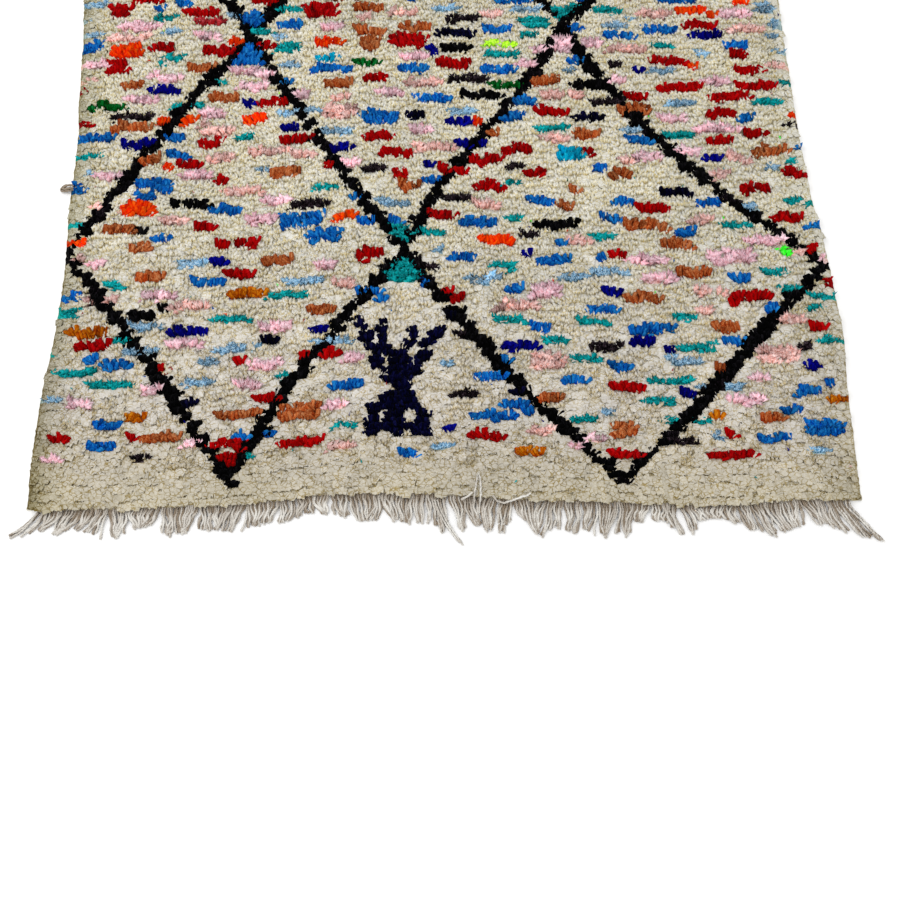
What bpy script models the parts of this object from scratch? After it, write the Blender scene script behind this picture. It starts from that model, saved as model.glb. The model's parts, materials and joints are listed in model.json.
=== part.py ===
"""A hand-knotted wool pile rug that lies flat, with a fringe of warp ends at one end.

Metres, +Z up. The origin is the middle of the woven underside, which lies flat at z = 0. The fringed
end faces -Y. "Along" is the distance from that end's pile edge, and "across" is the same as x.
"""

import math
import random

import bmesh
import bpy
from mathutils import Vector, noise

# The rug
RUG_LENGTH = 2.100
RUG_WIDTH = 1.500
PILE_TOP = 0.0180
PILE_SWELL = 0.0018
PILE_LUMP = 0.0036
SWELLS_PER_METRE = 6
LUMPS_PER_METRE = 31
RIM_TOP = 0.0125
RIM_MIDDLE = 0.0065
RIM_BULGE = 0.0010
RIM_TUCK = 0.0026
RIM_STRIP = 0.0120
CORNER_ROUND = 0.0060
SIDE_UNEVEN = 0.0025
SIDE_WAVES_PER_METRE = 9
CELLS_ACROSS = 42
CELLS_ALONG = 58
GRID_HALF = 0.5

# The locks that stand out of the rug's rim
LOCK_EVERY = 2
LOCK_REACH = (0.0085, 0.0155)
LOCK_LEAN = 0.5
LOCK_BEND = 1.8
LOCK_NARROWING = (0.85, 0.50)

# The fringe. A strand's steps have columns: share of its length, of its width and of its height.
PART_GAP = 0.0003
STRIP_WIDTH = 0.0080
STRIP_HEIGHT = 0.0040
STRANDS = 200
STRAND_BEND = 0.45
STRAND_SHORTEST = 0.86
STRAND_STEPS = (
    (0.30, 0.92, 0.92),
    (0.66, 0.78, 0.76),
    (1.00, 0.52, 0.46),
)

FACES_FRONT = 0.7
SHARP_ANGLE = math.radians(50)
SEED = 21

# The long sides. Columns: along, left edge, right edge.
SIDES = (
    (-0.020, -0.729, 0.748),
    (0.062, -0.741, 0.759),
    (0.199, -0.741, 0.761),
    (0.341, -0.730, 0.767),
    (0.426, -0.728, 0.762),
    (0.536, -0.732, 0.752),
    (0.650, -0.736, 0.740),
    (0.768, -0.738, 0.733),
    (0.890, -0.749, 0.729),
    (0.992, -0.754, 0.726),
    (1.123, -0.766, 0.728),
    (1.400, -0.762, 0.735),
    (1.750, -0.752, 0.744),
    (2.100, -0.748, 0.746),
)

# The fringed end. Columns: across, along.
FRINGED_END = (
    (-0.730, -0.016),
    (-0.600, -0.016),
    (-0.400, -0.010),
    (-0.310, -0.003),
    (-0.230, 0.010),
    (-0.140, 0.014),
    (-0.050, 0.013),
    (0.040, 0.009),
    (0.140, 0.002),
    (0.310, -0.002),
    (0.420, -0.007),
    (0.520, -0.006),
    (0.640, 0.001),
    (0.710, 0.005),
    (0.750, -0.002),
)

# The far end, turned and plain. Columns: across, along.
FAR_END = (
    (-0.750, 2.094),
    (-0.400, 2.103),
    (0.000, 2.098),
    (0.380, 2.104),
    (0.746, 2.096),
)

# Clumps of fringe strands from left to right. Columns: where the clump's roots end, how far its tips
# lean, how long its strands are, how closely they gather.
CLUMPS = (
    (-0.700, -0.026, 0.052, 0.60),
    (-0.640, -0.010, 0.036, 0.62),
    (-0.590, -0.006, 0.031, 0.70),
    (-0.556, -0.001, 0.047, 0.50),
    (-0.490, 0.000, 0.036, 0.72),
    (-0.425, -0.010, 0.041, 0.60),
    (-0.365, -0.007, 0.038, 0.72),
    (-0.338, -0.005, 0.043, 0.45),
    (-0.235, -0.004, 0.037, 0.82),
    (-0.190, -0.004, 0.032, 0.55),
    (-0.108, 0.004, 0.044, 0.72),
    (-0.012, 0.005, 0.051, 0.76),
    (0.012, 0.012, 0.070, 0.50),
    (0.044, 0.010, 0.055, 0.55),
    (0.072, 0.009, 0.054, 0.50),
    (0.128, 0.008, 0.058, 0.55),
    (0.150, 0.006, 0.034, 0.70),
    (0.208, 0.003, 0.060, 0.38),
    (0.240, 0.000, 0.046, 0.50),
    (0.282, -0.003, 0.050, 0.62),
    (0.322, -0.010, 0.062, 0.42),
    (0.348, -0.006, 0.054, 0.45),
    (0.408, 0.001, 0.026, 0.86),
    (0.445, 0.014, 0.050, 0.55),
    (0.512, 0.006, 0.025, 0.88),
    (0.558, 0.014, 0.040, 0.50),
    (0.640, 0.018, 0.054, 0.58),
    (0.690, 0.014, 0.044, 0.62),
    (0.722, 0.020, 0.060, 0.50),
    (0.748, 0.034, 0.068, 0.50),
)


def read_table(table, place, column):
    """The value of one column at a place between two rows, eased so that the line has no corners."""
    for row, following in zip(table, table[1:]):
        if place <= following[0]:
            break
    share = (place - row[0]) / (following[0] - row[0])
    share = min(1.0, max(0.0, share))
    share = share * share * (3 - 2 * share)
    return row[column] + share * (following[column] - row[column])


def fringed_end_y(x):
    return read_table(FRINGED_END, x, 1) - RUG_LENGTH / 2


def far_end_y(x):
    return read_table(FAR_END, x, 1) - RUG_LENGTH / 2


def side_x(along, column):
    """The left (1) or right (2) edge's x, with the slight unevenness of hand work."""
    uneven = noise.noise(Vector((along * SIDE_WAVES_PER_METRE, 5.0 * column, 0.5)))
    return read_table(SIDES, along, column) + SIDE_UNEVEN * uneven


def remove_everything():
    for thing in list(bpy.data.objects):
        bpy.data.objects.remove(thing)


def wool(name, colour, roughness):
    material = bpy.data.materials.new(name)
    material.use_nodes = True
    shader = material.node_tree.nodes["Principled BSDF"]
    shader.inputs["Base Color"].default_value = (*colour, 1)
    shader.inputs["Roughness"].default_value = roughness
    shader.inputs["Metallic"].default_value = 0.0
    return material


def add_object(name, bm, material, collection):
    mesh = bpy.data.meshes.new(name)
    bmesh.ops.recalc_face_normals(bm, faces=bm.faces)
    bm.to_mesh(mesh)
    bm.free()
    mesh.materials.append(material)
    thing = bpy.data.objects.new(name, mesh)
    collection.objects.link(thing)
    return thing


def line_places(length, cells):
    """Where the grid's lines lie: a narrow strip at each rim, and even cells between."""
    first = RIM_STRIP / length
    inner = cells - 2
    return [0.0] + [first + (1 - 2 * first) * i / inner for i in range(inner + 1)] + [1.0]


def pile_height(x, y):
    """The top of the pile inside its rim: soft swells with small lumps on them."""
    swell = noise.noise(Vector((x, y, 0.4)) * SWELLS_PER_METRE)
    lump = noise.noise(Vector((x, y, 0.2)) * LUMPS_PER_METRE)
    return PILE_TOP + PILE_SWELL * swell + PILE_LUMP * lump


def rug_point(column, row):
    """Where a grid line's crossing lies in plan, from its column and row."""
    share_across = line_places(RUG_WIDTH, CELLS_ACROSS)[column]
    share_along = line_places(RUG_LENGTH, CELLS_ALONG)[row]
    along = share_along * RUG_LENGTH
    left = side_x(along, 1)
    right = side_x(along, 2)
    x = left + (right - left) * share_across
    near = fringed_end_y(x)
    y = near + (far_end_y(x) - near) * share_along
    if column in (0, CELLS_ACROSS) and row in (0, CELLS_ALONG):
        x -= math.copysign(CORNER_ROUND, x)
        y -= math.copysign(CORNER_ROUND, y)
    return x, y


def shape_top(bm):
    """Lays the grid's points out to the rug's outline and lifts them to the pile."""
    for point in bm.verts:
        column = round((point.co.x / GRID_HALF + 1) / 2 * CELLS_ACROSS)
        row = round((point.co.y / GRID_HALF + 1) / 2 * CELLS_ALONG)
        x, y = rug_point(column, row)
        on_rim = point.is_boundary
        point.co = (x, y, RIM_TOP if on_rim else pile_height(x, y))


def split_for_locks(bm):
    """Splits every second long edge of the rim in three, and gives the middle thirds."""
    rim = [edge for edge in bm.edges if edge.is_boundary and edge.calc_length() > 1.5 * RIM_STRIP]
    rim.sort(key=lambda edge: math.atan2(*(edge.verts[0].co + edge.verts[1].co).xy))
    split = bmesh.ops.subdivide_edges(bm, edges=rim[::LOCK_EVERY], cuts=2)["geom_inner"]
    added = {item for item in split if isinstance(item, bmesh.types.BMVert)}
    return [edge for edge in bm.edges if edge.is_boundary and added.issuperset(edge.verts)]


def outward_at(point):
    """The way out of the rug in plan at a point of its open rim."""
    out = Vector((0, 0, 0))
    for edge in point.link_edges:
        if edge.is_boundary:
            run = edge.verts[1].co - edge.verts[0].co
            side = Vector((run.y, -run.x, 0)).normalized()
            middle = (edge.verts[0].co + edge.verts[1].co) / 2
            out += side if side.dot(middle) > 0 else -side
    return out.normalized()


def lower_rim(bm, height, outward):
    """Extrudes the open rim down to a height, moved outward by a distance, and gives the wall."""
    rim = [edge for edge in bm.edges if edge.is_boundary]
    ways = {tuple(v.co): outward_at(v) for edge in rim for v in edge.verts}
    made = bmesh.ops.extrude_edge_only(bm, edges=rim)["geom"]
    for point in (item for item in made if isinstance(item, bmesh.types.BMVert)):
        place = point.co + ways[tuple(point.co)] * outward
        point.co = (place.x, place.y, height)
    return {item for item in made if isinstance(item, bmesh.types.BMFace)}


def grow_locks(bm, roots):
    """Draws a tapered, slightly bent lock of pile out of each root face."""
    rng = random.Random(SEED)
    for root in roots:
        outward = Vector((root.normal.x, root.normal.y, 0)).normalized()
        sideways = Vector((-outward.y, outward.x, 0)) * rng.uniform(-LOCK_LEAN, LOCK_LEAN)
        reach = rng.uniform(*LOCK_REACH)
        face = root
        for narrowing in LOCK_NARROWING:
            face = bmesh.ops.extrude_discrete_faces(bm, faces=[face])["faces"][0]
            middle = face.calc_center_median()
            step = (outward + sideways) * reach / len(LOCK_NARROWING)
            for point in face.verts:
                point.co = middle + (point.co - middle) * narrowing + step
            sideways *= LOCK_BEND


def make_rug(collection):
    bm = bmesh.new()
    bmesh.ops.create_grid(bm, x_segments=CELLS_ACROSS, y_segments=CELLS_ALONG, size=GRID_HALF)
    shape_top(bm)
    lock_edges = split_for_locks(bm)
    wall = lower_rim(bm, RIM_MIDDLE, RIM_BULGE)
    roots = [face for edge in lock_edges for face in edge.link_faces if face in wall]
    lower_rim(bm, 0.0, -RIM_TUCK)
    bmesh.ops.holes_fill(bm, edges=[edge for edge in bm.edges if edge.is_boundary])
    bmesh.ops.recalc_face_normals(bm, faces=bm.faces)
    grow_locks(bm, roots)
    material = wool("knotted_wool", (0.56, 0.51, 0.37), 0.95)
    rug = add_object("rug", bm, material, collection)
    rug.data.shade_smooth()
    rug.data.set_sharp_from_angle(angle=SHARP_ANGLE)
    return rug


def clump_of(x):
    """The clump that a root at x belongs to: the middle of its roots, and its row's values."""
    start = FRINGED_END[0][0]
    for end, lean, length, gather in CLUMPS:
        if x <= end:
            break
        start = end
    return (start + end) / 2, lean, length, gather


def strand_reach(root_x, share):
    """How far a point of a strand lies from its root, sideways and forwards."""
    middle, lean, length, gather = clump_of(root_x)
    tip_shift = lean + (middle - root_x) * (1 - gather)
    return tip_shift * share * (1 - STRAND_BEND + STRAND_BEND * share), length * share


def rim_y(rim, x):
    """The rug's end at x, straight between the points of its rim, so that the strip keeps its gap."""
    for (x0, y0), (x1, y1) in zip(rim, rim[1:]):
        if x <= x1:
            break
    return y0 + (y1 - y0) * (x - x0) / (x1 - x0)


def make_fringe(collection):
    """A strip between the rug's corners, with a strand drawn out of every second face in front."""
    rim = [rug_point(column, 0) for column in range(1, CELLS_ACROSS)]
    left = rim[0][0]
    right = rim[-1][0]
    cells = 2 * STRANDS + 1
    bm = bmesh.new()
    bmesh.ops.create_grid(bm, x_segments=cells, y_segments=1, size=GRID_HALF)
    for point in bm.verts:
        x = left + (right - left) * (point.co.x / GRID_HALF + 1) / 2
        in_front = STRIP_WIDTH if point.co.y < 0 else 0.0
        point.co = (x, rim_y(rim, x) - PART_GAP - in_front, 0.0)
    raised = bmesh.ops.extrude_face_region(bm, geom=bm.faces[:])["geom"]
    for point in (item for item in raised if isinstance(item, bmesh.types.BMVert)):
        point.co.z = STRIP_HEIGHT
    bmesh.ops.recalc_face_normals(bm, faces=bm.faces)
    front = [face for face in bm.faces if face.normal.y < -FACES_FRONT]
    front.sort(key=lambda face: face.calc_center_median().x)
    grow_strands(bm, front[1::2])
    material = wool("cotton_warp", (0.72, 0.69, 0.62), 0.9)
    return add_object("fringe", bm, material, collection)


def grow_strands(bm, roots):
    """Draws each strand out of its root face in steps, with its underside kept on the floor."""
    rng = random.Random(SEED + 1)
    for root in roots:
        start = root.calc_center_median()
        half_width = max(abs(v.co.x - start.x) for v in root.verts)
        shorter = rng.uniform(STRAND_SHORTEST, 1.0)
        face = root
        for share, width_share, height_share in STRAND_STEPS:
            face = bmesh.ops.extrude_discrete_faces(bm, faces=[face])["faces"][0]
            middle = face.calc_center_median()
            sideways, forwards = strand_reach(start.x, share * shorter)
            for point in face.verts:
                side = math.copysign(half_width * width_share, point.co.x - middle.x)
                top = STRIP_HEIGHT * height_share if point.co.z > middle.z else 0.0
                point.co = (start.x + sideways + side, start.y - forwards, top)


def main():
    remove_everything()
    collection = bpy.data.collections.new("azilal_rug")
    bpy.context.scene.collection.children.link(collection)
    make_rug(collection)
    make_fringe(collection)


main()
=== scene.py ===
"""The looks of a hand-knotted wool pile rug that lies flat, with its fringe of warp ends.

The woven ground is a thin sheet, and every knot on it is a tuft of yarn ends that leans away from the
fringed end. Metres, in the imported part's frame: the fringed end faces -Y. "Along" is the distance from
that end's pile edge, and "across" is the same as x.
"""

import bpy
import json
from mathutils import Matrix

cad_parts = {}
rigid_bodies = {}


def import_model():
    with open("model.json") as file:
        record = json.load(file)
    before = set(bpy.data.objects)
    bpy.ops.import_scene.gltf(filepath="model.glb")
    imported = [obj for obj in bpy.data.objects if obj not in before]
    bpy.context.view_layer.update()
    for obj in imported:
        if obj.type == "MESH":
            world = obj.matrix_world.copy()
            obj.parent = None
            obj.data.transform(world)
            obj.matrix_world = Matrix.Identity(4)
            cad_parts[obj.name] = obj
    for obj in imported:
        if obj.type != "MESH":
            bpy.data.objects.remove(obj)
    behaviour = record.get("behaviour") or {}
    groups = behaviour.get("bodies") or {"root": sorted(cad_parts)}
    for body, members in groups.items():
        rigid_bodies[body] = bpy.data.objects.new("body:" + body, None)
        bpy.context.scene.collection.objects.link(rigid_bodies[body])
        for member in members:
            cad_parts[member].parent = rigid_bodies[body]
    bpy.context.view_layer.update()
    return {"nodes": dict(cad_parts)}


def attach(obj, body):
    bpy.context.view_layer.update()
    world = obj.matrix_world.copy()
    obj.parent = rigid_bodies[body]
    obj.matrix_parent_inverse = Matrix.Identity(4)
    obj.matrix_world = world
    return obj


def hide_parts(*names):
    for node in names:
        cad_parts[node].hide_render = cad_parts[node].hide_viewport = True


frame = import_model()

import json
import math
import random

import bmesh
import bpy
import numpy as np
from mathutils import Vector, noise

# The ground and its knots. A knot is its row from the fringed end and its place in the row.
RUG_SIZE = (1.500, 2.100)
HALF_LENGTH = RUG_SIZE[1] / 2
GROUND_THICK = 0.0024
KNOT_ROWS = 161
KNOTS_IN_A_ROW = 131
ROW_PITCH = RUG_SIZE[1] / KNOT_ROWS
KNOT_PITCH = RUG_SIZE[0] / KNOTS_IN_A_ROW
KNOTS = [(row, column) for row in range(KNOT_ROWS) for column in range(KNOTS_IN_A_ROW)]
SIDE_INSET = 0.0084
END_INSET = 0.0010
KNOT_STRAY = (0.0021, 0.0028)
SHORT_PILE_CALM = 0.60
EDGE_OVERHANG = 0.0040
SEED = 11

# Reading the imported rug's outline: how far in from its size an edge may lie, at a side and at an end
EDGE_BAND = (0.05, 0.02)
FLOOR_LEVEL = 0.0001
OUTLINE_ROUNDS = 3

# What wanders smoothly over the rug. Columns: how far, waves in a metre, layer of the noise.
WANDERS = {
    "rows": (0.0026, 7, 1.0),
    "lines": (0.0036, 9, 3.0),
    "charcoal": (1.0, 14, 6.0),
    "light": (0.07, 5, 8.0),
    "light of the locks": (0.07, 26, 9.0),
    "warmth": (0.03, 11, 12.0),
    "growth": (0.3, 12, 14.0),
    "short patches": (1.0, 12, 14.0),
    "small patches": (0.8, 30, 15.0),
    "lie": (0.6, 6, 20.0),
    "curl": (0.7, 48, 21.0),
    "broad swells": (0.5, 8, 24.0),
    "small swells": (0.6, 34, 26.0),
    "blocks": (1.7, 26, 27.0),
    "bunches": (0.4, 20, 31.0),
}

# How the pile lies. Angles in radians: nothing is towards +Y, away from the fringe.
SIDE_LEAN = 0.55
SIDE_COLUMNS = 2.5
SHORT_PILE_REACH = 0.070
LONG_PILE_FROM = 0.260
SHORT_PILE_HEIGHT = 0.86
PILE_SWELL = 0.16
RISE_SHARE = 0.42
SIDE_SHORTER = 0.50
SIDE_THINNER = 0.20
FRINGE_SHORTER = 0.25

# The short, packed pile: where it lies, and how two of its knots make a block
COBBLED_REACH = 0.55
COBBLED_SHARE = 0.75
PATCH_REACH = 0.02
PATCH_SHARE = 0.5
BLOCK_PULL = 0.0010
BLOCK_LOOSE = 0.60
BLOCK_LIE = 0.5
BLOCK_STEP = 0.0042

# Stray ends of dyed yarn in the undyed pile
WISP_SHARE = 0.012
WISP_GROUP = "green"
WISP_LENGTH = (0.4, 0.9)
WISP_RAISED = 1.04
WISP_TURN = 1.5
WISP_STREAKS = 0.5

# The packed lower pile that shows between the tufts
BED_INSET = (0.0008, 0.0010)
BED_TOP = 0.0118
BED_TOP_WHERE_SHORT = 0.0117
BED_GROOVE = 0.0018
GROOVE_FILLED_BY_LONG_PILE = 0.7
GROOVE_CHANCE = (0.3, 1.0)
BED_ROUGH = 0.0010
BED_STRAY = 0.0012
BED_RIM = 0.0040
# Painted shade: the bed's outer columns are shaded as deep grooves and darkened, more on the left, and the
# whole bed is a little darker than its knots.
BED_RIM_PAINTED_GROOVE_SHADE = (1.0, 0.7)
BED_RIM_PAINTED_SHADE = (0.78, 0.90)
BED_PAINTED_SHADE = 0.96

# The undyed wool's colour: its light, and how much darker or warmer it is in a place. Pairs are for the
# left and the right side. Khaki is the soil by the fringe, and low is where the pile is short.
CREAM_LIGHT = 0.92
LOCK_STRAY = 0.028
KHAKI_REACH = 0.16
LOW_REACH = 0.50
MARGIN_FROM = 0.65
MARGIN_WIDTH = 0.10
# Painted shade along the sides: darker towards each side and most at the rim, more on the left.
MARGIN_PAINTED_SHADE = (0.19, 0.13)
RIM_PAINTED_SHADE = (0.27, 0.02)
KHAKI_SHADE = 0.09
LOW_SHADE = 0.17
KHAKI_WARMTH = 0.12
LOW_WARMTH = 0.04
# Painted shade: the sides are warmer where they are shaded.
MARGIN_PAINTED_SHADE_WARMTH = 0.4
WARM_LESS_GREEN = 0.2
WARM_LESS_BLUE = 1.2
LOW_LESS_GREEN = 0.032
DYE_STRAY = 0.12

# The black lines
LINE_HALF_WIDTH = 0.0102
LINE_STRAY = 0.0020
LINE_SLIM = 0.60
TIP_SLIM = {"near_left_tip": 0.84, "near_right_tip": 0.96}
FULL_WIDTH_CORNERS = ("near_left", "near_right")
LINE_SLIM_REACH = 0.080
LINE_PAST_ENDS = 0.01
CHARCOAL_FROM = 0.32

# The bars and the dots
FIRST_BAR_ALONG = 0.078
COURSE_PITCH = (0.0420, 0.0368)
CLOSER_BY_ALONG = 1.0
BAR_REPEAT = 0.0880
BAR_SHIFT = 0.010
BAR_RISE = 0.0015
BAR_KNOTS = (2, 3, 4, 4, 5, 5, 5, 6, 6, 7)
BAR_TILT = 0.02
BARE_KNOTS = 0.015
SECOND_ROW = 0.08
DOTS_PER_SQUARE_METRE = 62
DOT_KNOTS = (1, 2, 2, 3)

# The photograph's view
CAMERA_HEIGHT = 1.727
CAMERA_BEFORE_END = 0.485
CAMERA_ACROSS = 0.020
CAMERA_DOWN = math.radians(71.27)
CAMERA_LENS = 40.0
CAMERA_SENSOR = 36.0

# The floor and the light
FLOOR_SIZE = 14
FLOOR_COLOUR = (0.93, 0.93, 0.93, 1)
WINDOW_PLACE = (-1.4, -0.3, 2.9)
WINDOW_SIZE = 2.4
WINDOW_WATTS = 32

# The yarns. Columns: colour as red, green, blue of 255, tuft, length, thickness, flecks, group.
YARNS = {
    "cream": ((228, 226, 218), "plump", 1.06, 0.96, 0.0, "cream"),
    "black": ((13, 12, 15), "lumpy", 1.12, 1.06, 0.0, "lines"),
    "charcoal": ((34, 28, 34), "lumpy", 1.12, 1.06, 0.3, "lines"),
    "navy": ((10, 11, 52), "lumpy", 1.06, 1.03, 0.0, "sign"),
    "red": ((169, 5, 9), "fluffy", 1.36, 1.22, 0.0, "warm"),
    "old_rose": ((196, 84, 92), "fine", 1.35, 1.10, 0.3, "warm"),
    "orange": ((226, 80, 8), "fluffy", 1.34, 1.20, 0.0, "warm"),
    "terracotta": ((184, 120, 78), "fluffy", 1.42, 1.22, 0.2, "earth"),
    "ochre": ((190, 120, 24), "fluffy", 1.42, 1.22, 0.1, "earth"),
    "baby_pink": ((232, 205, 213), "fine", 1.60, 1.24, 0.28, "pink"),
    "salmon": ((230, 202, 198), "fine", 1.54, 1.22, 0.34, "pink"),
    "royal_blue": ((30, 118, 185), "fluffy", 1.27, 1.18, 0.0, "blue"),
    "ultramarine": ((4, 9, 130), "fluffy", 1.28, 1.16, 0.0, "blue"),
    "pale_blue": ((178, 202, 218), "fine", 1.22, 1.18, 0.9, "blue"),
    "turquoise": ((10, 160, 190), "fluffy", 1.20, 1.10, 0.0, "green"),
    "teal": ((30, 170, 173), "fine", 1.16, 1.14, 0.2, "green"),
    "green": ((8, 104, 44), "fluffy", 1.20, 1.10, 0.0, "green"),
    "neon_green": ((96, 246, 84), "fine", 1.20, 1.10, 0.0, "green"),
    "neon_yellow": ((200, 248, 84), "fine", 1.20, 1.10, 0.0, "green"),
    "charcoal_bar": ((64, 53, 60), "fine", 1.34, 1.18, 0.5, "dark"),
    "black_bar": ((13, 12, 15), "fluffy", 1.36, 1.18, 0.0, "dark"),
    "navy_bar": ((9, 8, 44), "fluffy", 1.30, 1.16, 0.0, "dark"),
}
CREAM_PIECES = 4

# How deep a lobe's colour is by chance, where 1 is the yarn's own, and how much of the curls shows
LOBE_DEPTH = {"plump": (0.95, 1.15), "brick": (0.94, 1.18)}
DYED_LOBE_DEPTH = (0.84, 1.32)
CREAM_STREAKS = 0.50
COBBLED_STREAKS = 0.92
DYED_STREAKS = 0.62
COBBLED_SHADE = 0.95

# The curls in the wool. The crease between two curls takes this share of a curl, and bends by some metres.
CURLS_PER_METRE = 165
CREASE_SHARE = 0.17
PACKED_CREASE_SHARE = 0.12
COMBED_CURL = (1.05, 0.50, 1.0)
PACKED_CURL = (0.66, 0.86, 1.0)
CREASE_BREAKS_PER_METRE = 85
CURL_BENT_PER_METRE = 120
CURL_BEND = 0.006

# The yarns' finish: roughness and sheen
WOOL_FINISH = (0.95, 0.008)
BACK_FINISH = (0.95, 0.05)
COTTON_FINISH = (0.88, 0.03)
SHEEN_ROUGHNESS = 0.45
YARN_SPECULAR = 0.03

# The wool's finer patterns, and how its shadows are tinted as red, green and blue shares
FUZZ_PER_METRE = 400
SPECKS_PER_METRE = 520
FIBRES_IN_A_LOBE = (22, 3.5, 1)
FUZZ_BUMP = (0.5, 0.0014)
WARM_SHADOW = (1.00, 0.917, 0.65)
# How much of the painted warm shade the dyed wool takes; the undyed takes all of it.
DYED_PAINTED_SHADE_WARMTH = 0.15

# A mix node's sockets for colours, by number
MIX_SHARE, MIX_FIRST, MIX_SECOND, MIX_RESULT = 0, 6, 7, 2

# What a pattern does to the wool. Columns: the pattern's low and high, and what each of them gives. A
# depth above 1 is darker and stronger.
PACKED_WHERE_STREAKED = (0.8, 0.9, 0.0, 1.0)
CREASES_BROKEN = (0.38, 0.56, 0.22, 1.0)
# Painted shade: the creases between the curls are darker.
CREASE_PAINTED_SHADE = (0.0, 1.0, 2.00, 0.96)
FUZZ_DEPTH = (0.32, 0.68, 1.09, 0.95)
FIBRE_DEPTH = (0.30, 0.70, 1.16, 0.93)
FLECK_DEPTH = (0.46, 0.54, 2.6, 1.0)
# Painted light and shade at a lobe's root, for the light that bounces between the tufts: lighter, deeper
# and warmer there.
ROOT_PAINTED_SHADE = (0.35, 0.90, 1.24, 0.98)
ROOT_PAINTED_LIGHT = (0.35, 0.90, 1.14, 1.0)
ROOT_PAINTED_WARM_SHADE = (0.30, 0.75, 1.0, 0.0)
# Painted shade: the creases between the curls are warmer.
CREASE_PAINTED_WARM_SHADE = (0.0, 0.7, 1.0, 0.0)
# Painted shade on the lower pile: darker and warmer in its grooves and in its creases.
BED_GROOVE_PAINTED_SHADE = (0.45, 0.95, 1.0, 1.22)
BED_CREASE_PAINTED_SHADE = (0.0, 1.0, 1.75, 0.95)
BED_FUZZ_DEPTH = (0.32, 0.68, 1.12, 0.90)
BED_GROOVE_PAINTED_WARM_SHADE = (0.3, 0.95, 0.2, 0.9)
BED_CREASE_PAINTED_WARM_SHADE = (0.0, 1.0, 0.5, 0.0)

# The same for the woven back and for the cotton
BACK_ROW_LIGHT = (0.0, 1.0, 0.70, 1.04)
BACK_GRAIN_LIGHT = (0.30, 0.70, 0.82, 1.08)
BACK_GRAINS_PER_METRE = 420
BACK_BUMP = (0.6, 0.0012)
BACK_UNEVEN = 0.6
WAVES_FOR_A_SCALE_OF_1 = 20 / (2 * math.pi)
COTTON_CLEAN = (231, 228, 221)
# The dark end is soil and painted shadow, and the next two rows darken the cotton towards its root.
COTTON_SOILED_AND_SHADED = (148, 133, 115)
COTTON_SOIL_AND_SHADE_BY_REACH = (0.0, 0.5, 2.1, 0.9)
COTTON_ROOT_DARKENING = (0.0, 0.7, 0.42, 0.0)
COTTON_WORN_TIP = (0.6, 1.0, 0.0, 0.20)
COTTON_BLOTCHES = (0.35, 0.65, -0.12, 0.22)
COTTON_BLOTCHES_PER_METRE = 40
COTTON_GRAIN_LIGHT = (0.30, 0.70, 0.90, 1.05)
COTTON_GRAINS_PER_METRE = 700
COTTON_BUMP = (0.4, 0.0004)

# How often a bar's yarn is drawn, and where. Columns: yarn, weight, from along, to along.
EVERYWHERE = (0.00, 9.0)
BAR_YARNS = (
    ("royal_blue", 19.5, *EVERYWHERE),
    ("red", 17.5, *EVERYWHERE),
    ("baby_pink", 12.5, *EVERYWHERE),
    ("salmon", 11.5, *EVERYWHERE),
    ("teal", 12.5, *EVERYWHERE),
    ("pale_blue", 12.5, *EVERYWHERE),
    ("terracotta", 10, *EVERYWHERE),
    ("ultramarine", 4.2, *EVERYWHERE),
    ("charcoal_bar", 4, *EVERYWHERE),
    ("black_bar", 0.8, *EVERYWHERE),
    ("navy_bar", 1.6, *EVERYWHERE),
    ("orange", 5.5, 0.30, 9.0),
    ("ochre", 7, 0.00, 0.42),
    ("old_rose", 3, 0.85, 9.0),
    ("green", 1, 0.80, 9.0),
    ("turquoise", 1, 0.55, 9.0),
    ("neon_yellow", 2, 0.85, 1.30),
)
DOT_YARNS = (
    ("royal_blue", 5, *EVERYWHERE),
    ("red", 10, *EVERYWHERE),
    ("teal", 4, *EVERYWHERE),
    ("ultramarine", 9, *EVERYWHERE),
    ("salmon", 3, *EVERYWHERE),
    ("black_bar", 1.5, *EVERYWHERE),
    ("orange", 3, 0.35, 9.0),
    ("green", 1, 0.55, 9.0),
    ("neon_green", 2, 0.35, 0.95),
    ("neon_yellow", 2, 0.75, 1.20),
)

# The corners of the black diamonds, and the tips below two of them: across, along
CORNERS = {
    "near_left_tip": (-0.370, 0.024),
    "near_left": (-0.376, 0.038),
    "near_right_tip": (0.330, 0.022),
    "near_right": (0.330, 0.038),
    "side_left": (-0.722, 0.487),
    "middle": (-0.070, 0.503),
    "side_right": (0.742, 0.468),
    "upper_left": (-0.399, 1.008),
    "upper_right": (0.256, 1.038),
    "far_side_left": (-0.748, 1.510),
    "far_middle": (-0.070, 1.530),
    "far_side_right": (0.728, 1.500),
    "end_left": (-0.390, 2.020),
    "end_right": (0.290, 2.030),
}
# Columns: from, to, how far its middle bows to the right, and how far its lower half sways to the right
LINES = (
    ("near_left", "near_left_tip", 0.000, 0.000),
    ("near_right", "near_right_tip", 0.000, 0.000),
    ("near_left", "side_left", 0.006, 0.000),
    ("near_left", "middle", -0.018, -0.004),
    ("near_right", "middle", -0.025, 0.000),
    ("near_right", "side_right", 0.007, 0.005),
    ("side_left", "upper_left", -0.009, 0.000),
    ("middle", "upper_left", -0.010, 0.000),
    ("middle", "upper_right", 0.000, -0.013),
    ("side_right", "upper_right", -0.060, 0.000),
    ("upper_left", "far_side_left", 0.004, 0.008),
    ("upper_left", "far_middle", -0.008, 0.006),
    ("upper_right", "far_middle", 0.010, -0.006),
    ("upper_right", "far_side_right", -0.012, 0.004),
    ("far_side_left", "end_left", 0.010, 0.000),
    ("far_middle", "end_left", -0.012, 0.004),
    ("far_middle", "end_right", 0.008, -0.008),
    ("far_side_right", "end_right", -0.020, 0.000),
)

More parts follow.
